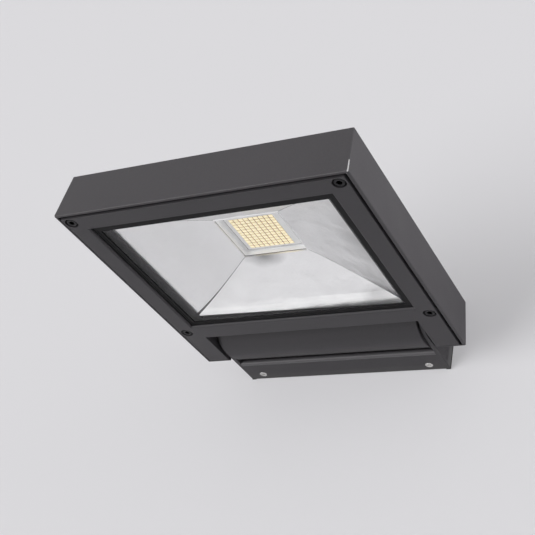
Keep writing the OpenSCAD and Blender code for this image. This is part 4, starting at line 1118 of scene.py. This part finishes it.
@dataclass
class ReflectorUnit(SubAssembly):
    """Bright sheet that flares in four curved faces from a square neck with a folded lip."""

    neck: Rect = Rect(-27.0 * MM, 30.8 * MM, -210.6 * MM, -157.8 * MM)
    seat: Rect = Rect(-28.2 * MM, 28.7 * MM, -209.0 * MM, -157.4 * MM)
    mouth: Rect = Rect(-97.0 * MM, 97.0 * MM, -253.0 * MM, -103.3 * MM)
    neck_z: float = -2.0 * MM
    seat_z: float = 0.6 * MM
    mouth_z: float = -25.2 * MM
    flare: float = 1.15
    sheet: float = 0.8 * MM
    lip_out: float = 0.5 * MM
    lip_drop: float = 0.9 * MM
    flange_depth: float = 64.0 * MM
    pull: float = -7.5 * MM
    fold_share: float = 0.66
    seam: float = 0.25 * MM
    seam_flare: float = 1.6 * MM
    steps: int = 32
    painted_light_rings: tuple[int, int] = (2, 3)
    shaded_fold_ring: int = 4
    lip_ring: int = 8

    def ring(self, share: float, add: float = 0.0) -> list[Pair]:
        """Return the corners at a share of the way to the mouth, with the rear left one pulled forward."""
        grown = share ** (1.0 / self.flare)
        rect = Rect(*(a + (b - a) * grown for a, b in zip(self.neck, self.mouth)))
        *corners, (x, y) = rect.grown(add).corners()
        return [*corners, (x, y + self.pull * grown ** 2.5)]

    def cut(self, corners: Sequence[Pair], z: float) -> list[Triple]:
        """Return eight points: each corner cut off by the seam, which widens to the mouth at the rear left.

        Args:
            corners: the four corners, from the front left one on.
            z: their height, which says how far on the way to the mouth they are.

        Returns:
            Two points for each corner.
        """
        share = min(1.0, max(0.0, (z - self.neck_z) / (self.mouth_z - self.neck_z)))
        points = []
        for k, corner in enumerate(corners):
            width = self.seam + (self.seam_flare * share ** 2 if k == 3 else 0.0)
            for other in (corners[k - 1], corners[(k + 1) % 4]):
                toward = Vector(other) - Vector(corner)
                points.append((*(Vector(corner) + toward.normalized() * width), z))
        return points

    def profile(self) -> list[tuple[list[Pair], float]]:
        """Return the corners and the height of each ring: flange, seat, fold, lip, flare and back again."""
        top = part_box("reflector")[1].z
        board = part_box("led_board")
        side, front = board[1].x, board[0].y
        flange = Rect(-side, side, front, front + self.flange_depth).corners()
        seat, neck, lip = self.seat.corners(), self.ring(0.0), self.ring(0.0, self.lip_out)
        end_z, low = self.neck_z + 0.2 * MM, self.neck_z - self.lip_drop
        fold = [tuple(Vector(a).lerp(Vector(b), self.fold_share)) for a, b in zip(seat, neck)]
        fold_z = self.seat_z + (end_z - self.seat_z) * self.fold_share
        drop = self.mouth_z - self.neck_z
        ways = [(k / self.steps, self.neck_z + drop * k / self.steps) for k in range(1, self.steps + 1)]
        return [(flange, top - self.sheet), (flange, top), (seat, top), (seat, self.seat_z), (fold, fold_z),
                (neck, end_z), (neck, low), (lip, low), (lip, self.neck_z - 0.1 * MM),
                *((self.ring(share), z) for share, z in ways),
                *((self.ring(share, self.sheet), z) for share, z in reversed(ways)),
                (self.ring(0.0, self.lip_out + self.sheet), self.neck_z + self.sheet),
                (self.seat.grown(self.sheet).corners(), top - self.sheet)]

    def build(self) -> list[str]:
        """Build and dress the folded sheet: its upper neck faces in the glowing white ceramic as painted
        light, its fold and corner seams in the dark finish as painted shade.
        """
        work = bmesh.new()
        loops = [[work.verts.new(point) for point in self.cut(corners, z)] for corners, z in self.profile()]
        flared = range(self.lip_ring, self.lip_ring + self.steps)
        for step, (first, second) in enumerate(zip(loops, loops[1:] + loops[:1])):
            for k, face in enumerate(bridge(work, first, second)):
                # Upper neck faces are painted light; the fold and the corner seams are painted shade.
                painted_shade = step == self.shaded_fold_ring or (k % 2 == 0 and step in flared)
                face.material_index = 1 if step in self.painted_light_rings else 2 if painted_shade else 0
        piece = dress(piece_from("flared_reflector", work, 20.0), REFLECTOR_SHEET, WHITE_CERAMIC_PAINTED_GLOW, FOLD_AND_SEAM_PAINTED_SHADE)
        return [self.place(piece, Body.HEAD, "bright_aluminium", "reflector")]


@dataclass
class LightSource(SubAssembly):
    """Circuit board with its rows of chips, its pad and its screws."""

    columns: int = 9
    rows: int = 11
    pitch: Pair = (4.5 * MM, 3.7 * MM)
    chip: Triple = (4.0 * MM, 3.3 * MM, 0.7 * MM)
    case_share: float = 0.86
    case_round: float = 0.12 * MM
    window_share: float = 0.4
    window_in: float = 0.22 * MM
    window_round: float = 0.25 * MM
    centre_y: float = -181.9 * MM
    carrier: Rect = Rect(-23.6 * MM, 25.4 * MM, -208.2 * MM, -159.9 * MM)
    carrier_t: float = 0.45 * MM
    carrier_round: float = 0.08 * MM
    shade_bead: float = 0.6 * MM
    shade_bead_t: float = 0.12 * MM

    def build(self) -> list[str]:
        """Build and dress the board, the chips and what fixes them."""
        return [self.soften("led_board", "chip_board", 0.15 * MM, BOARD_SKIN_PAINTED_GLOW, "white_board"), self.mount(),
                *self.chips(),
                *StarScrews("board_screws", 4, 2.6, 7.2, head_r=2.75, facing=Facing.DOWN).build(),
                *self.keep({"thermal_pad": PAD_GREY, "led_leads": RED_WIRE, "lead_seal": RUBBER})]

    def mount(self) -> str:
        """Build the white ceramic block that the chips stand on, the black bead round it as painted shade of
        the gap at its edge, and the chips' field.
        """
        lo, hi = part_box("led_chips")
        top = hi.z - 0.01 * MM
        low = top - self.carrier_t
        work = bmesh.new()
        add_slab(work, self.carrier, low, top)
        bevelled(work, self.carrier_round)
        # The black bead stands for the shaded gap round the block: painted shade.
        layers = ((self.carrier.grown(self.shade_bead), top - self.shade_bead_t, top),
                  (Rect.over(lo, hi).grown(0.2 * MM), low - 0.04 * MM, low))
        for index, layer in enumerate(layers, 1):
            for vert in add_slab(work, *layer):
                for face in vert.link_faces:
                    face.material_index = index
        piece = dress(piece_from("chip_carrier", work), WHITE_CERAMIC_PAINTED_GLOW, RUBBER, CHIP_FIELD)
        return self.place(piece, Body.HEAD, "white_board")

    def chips(self) -> list[str]:
        """Set the chip cases and their phosphor windows in rows with the grid tree."""
        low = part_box("led_chips")[0].z
        width, depth, height = self.chip
        area = Rect(-width / 2, width / 2, -depth / 2, depth / 2)
        case, window = bmesh.new(), bmesh.new()
        add_slab(case, area, 0.0, height * self.case_share)
        bevelled(case, self.case_round)
        add_slab(window, area.grown(-self.window_in), 0.0, height * self.window_share)
        bevelled(window, self.window_round, segments=3)
        names = []
        for name, work, base, finish, nodes in (
                ("chip_cases", case, low + height * (1.0 - self.case_share), CHIP_CASE, ("led_chips",)),
                ("chip_windows", window, low, PHOSPHOR, ())):
            piece = patterned(name, GRID_TREE, {
                "Piece": piece_from(name + "_item", work), "Columns": self.columns, "Rows": self.rows,
                "Width": (self.columns - 1) * self.pitch[0], "Depth": (self.rows - 1) * self.pitch[1],
                "Centre": (0.0, self.centre_y, base)}, finish)
            names.append(self.place(piece, Body.HEAD, "yellow_chips", *nodes))
        return names


@dataclass
class HeatSink(SubAssembly):
    """Finned plate on the back of the head."""

    rounding: float = 0.35 * MM

    def build(self) -> list[str]:
        """Build and dress the fins and their screws."""
        return [self.soften("heat_sink", "finned_plate", self.rounding, DARK_ANODISED, "dark_anodised"),
                *StarScrews("sink_screws", 4, 11.5, 9.2, 3.5, 2.4, 2.0, 1.5, pitch=0.8, steps=36).build()]


@dataclass
class DriverBay(SubAssembly):
    """Cover of the hinge barrel and all that stands inside it."""

    rounding: float = 0.7 * MM

    def build(self) -> list[str]:
        """Build and dress the cover, the tray, the driver and the wiring."""
        # The barrel cover takes the darker coat as painted shade.
        return [self.soften("driver_cover", "barrel_cover", self.rounding, BOX_PAINTED_SHADE_COAT, "anthracite_paint"),
                self.soften("cable_grommet", "entry_grommet", 0.25 * MM, RUBBER, "black_rubber"),
                self.soften("driver", "driver_case", 0.8 * MM, WHITE_PLASTIC, "white_plastic"),
                *ScrewSet("cover_screws", 4, 16.0, 14.0, 3.5, 4.0, 2.0, 1.5).build(),
                *StarScrews("tray_screws", 4, -13.0, 4.5).build(),
                *StarScrews("driver_screws", 2, -10.0, 4.5).build(),
                *StarScrews("clamp_screws", 2, -2.0, 12.5).build(),
                *self.keep({"cover_seal": RUBBER, "driver_tray": ZINC, "terminal_block": WHITE_PLASTIC,
                            "terminal_screw": STAINLESS, "supply_leads": BROWN_WIRE,
                            "cord_clamp": BLACK_PLASTIC})]


@dataclass
class Hinge(SubAssembly):
    """Bolts, washers and bushes on which the head tilts."""

    def build(self) -> list[str]:
        """Dress the hinge's pieces."""
        return self.keep({
            "pivot_bolts": STAINLESS, "spring_washers": STAINLESS, "pivot_bushes": BUSH_PLASTIC})


@dataclass
class WallBracket(SubAssembly):
    """Box on the wall with its two cheeks, and the plate that it hangs on.

    The lip's outline is millimetres from the hinge's axis, towards the wall and upwards.
    """

    rounding: float = 0.7 * MM
    lip_half: float = 94.6 * MM
    lip_outline: tuple[Pair, ...] = (
        (26.0, -31.52), (24.6, -31.9), (23.6, -32.2), (22.7, -32.0), (22.0, -31.3), (21.7, -30.3),
        (21.7, -29.2), (22.2, -27.9), (23.3, -26.8), (24.8, -25.5), (26.4, -23.9), (27.0, -23.9),
        (27.2, -24.6), (26.6, -28.4))

    def build(self) -> list[str]:
        """Build and dress the box, the plate and their fixings."""
        # The wall box takes the darker coat as painted shade.
        return [self.soften("wall_box", "cast_wall_box", self.rounding, BOX_PAINTED_SHADE_COAT, "anthracite_paint"),
                self.soften("wall_plate", "hook_plate", 0.3 * MM, ZINC, "zinc_steel"), self.rolled_lip(),
                *ScrewSet("box_screws", 2, -29.9, 9.0, 3.4, 2.0, 2.0, 1.6, facing=Facing.DOWN,
                          body=Body.BRACKET).build(),
                *self.keep({"wall_seal": RUBBER, "wall_grommet": RUBBER, "earth_screw": BRASS})]

    def rolled_lip(self) -> str:
        """Build the thickened front edge of the box's floor, close under the hinge barrel."""
        work = bmesh.new()
        ends = [[work.verts.new((x, HINGE_Y + y * MM, z * MM)) for y, z in self.lip_outline]
                for x in (-self.lip_half, self.lip_half)]
        bridge(work, *ends)
        for end in ends:
            work.faces.new(end)
        # The lip takes the lighter coat as a painted highlight.
        piece = dress(piece_from("box_front_lip", work, 40.0), LIP_PAINTED_HIGHLIGHT_COAT)
        return self.place(piece, Body.BRACKET, "anthracite_paint")


@dataclass
class Studio:
    """Pale wall and floor, soft lamps and the camera of the photograph."""

    half_width: float = 3.0
    wall_gap: float = 0.8 * MM
    floor_z: float = -1.1
    top_z: float = 2.2
    key_direction: Triple = (0.5, 0.8, 0.36)
    key_strength: float = 1.7
    key_spread: float = 40.0
    side_direction: Triple = (-0.93, 0.1, -0.1)
    side_strength: float = 0.95
    side_spread: float = 60.0
    sky_low: float = 0.13
    sky_high: float = 0.56
    mirrored_sky: float = 0.72
    camera_place: Triple = (0.40623, -0.76339, -0.44288)
    camera_right: Triple = (0.86993335, 0.4566969, 0.18612876)
    camera_down: Triple = (-0.09740781, 0.52909518, -0.84295315)
    camera_forward: Triple = (-0.48345392, 0.71518266, 0.50476338)
    lens: float = 70.757

    def build(self) -> list[str]:
        """Build the wall, the floor, the world, the lamps and the camera."""
        w, y, low, top = self.half_width, self.wall_gap, self.floor_z, self.top_z
        upright = [(-w, y, low), (w, y, low), (w, y, top), (-w, y, top)]
        level = [(-w, -w, low), (w, -w, low), (w, y, low), (-w, y, low)]
        wall = self.sheet("studio_wall", upright, WALL_PAPER)
        floor = self.sheet("studio_floor", level, FLOOR_PAPER)
        self.world()
        self.sun("key_lamp", self.key_direction, self.key_strength, self.key_spread)
        self.sun("side_lamp", self.side_direction, self.side_strength, self.side_spread)
        self.camera()
        bpy.context.scene.view_settings.view_transform = "Standard"
        return [wall.name, floor.name]

    def sheet(self, name: str, corners: Sequence[Triple], finish: Finish) -> Piece:
        """Return a flat sheet through four corners."""
        mesh = bpy.data.meshes.new(name)
        mesh.from_pydata(corners, [], [(0, 1, 2, 3)])
        return dress(new_piece(name, mesh), finish)

    def world(self) -> None:
        """Light from all round, stronger from above, seen as the pale backdrop."""
        world = bpy.data.worlds.new("pale_world")
        world.use_nodes = True
        world.node_tree.nodes.clear()
        sketch = Sketch(world.node_tree)
        height = sketch.get("ShaderNodeSeparateXYZ", "Z", {0: sketch.get("ShaderNodeTexCoord", "Generated")})
        strength = sketch.ramp(height, -0.5, 0.5, self.sky_low, self.sky_high)
        path = sketch.add("ShaderNodeLightPath").outputs
        shader = sketch.light("Background", WHITE, strength)
        for ray, colour, level in (("Is Glossy Ray", WHITE, self.mirrored_sky),
                                   ("Is Camera Ray", PALE_GREY, 1.0)):
            shader = sketch.blend(path[ray], shader, sketch.light("Background", colour, level))
        sketch.add("ShaderNodeOutputWorld", {"Surface": shader})
        bpy.context.scene.world = world

    def sun(self, name: str, direction: Triple, strength: float, spread: float) -> None:
        """Add a soft sun that shines along a direction; spread is its angle in degrees."""
        lamp = bpy.data.lights.new(name, "SUN")
        lamp.energy = strength
        lamp.angle = math.radians(spread)
        piece = new_piece(name, lamp)
        piece.rotation_euler = Vector(direction).to_track_quat("-Z", "Y").to_euler()

    def camera(self) -> None:
        """Set the camera where the photograph was taken."""
        data = bpy.data.cameras.new("photo_camera")
        data.sensor_fit = "HORIZONTAL"
        data.sensor_width = 36.0
        data.lens = self.lens
        data.clip_start = 0.02
        piece = new_piece("photo_camera", data)
        axes = Matrix((self.camera_right, [-c for c in self.camera_down], [-c for c in self.camera_forward]))
        piece.matrix_world = Matrix.Translation(self.camera_place) @ axes.transposed().to_4x4()
        bpy.context.scene.camera = piece


def main() -> None:
    """Build every sub-assembly in order."""
    logging.basicConfig(level=logging.INFO, format="%(name)s: %(message)s")
    for part in (Studio, LampHousing, FrontFrame, GlassUnit, ReflectorUnit, LightSource, HeatSink, DriverBay,
                 Hinge, WallBracket):
        for name in part().build():
            LOG.info("%s: %s", part.__name__, name)


if __name__ == "__main__":
    main()
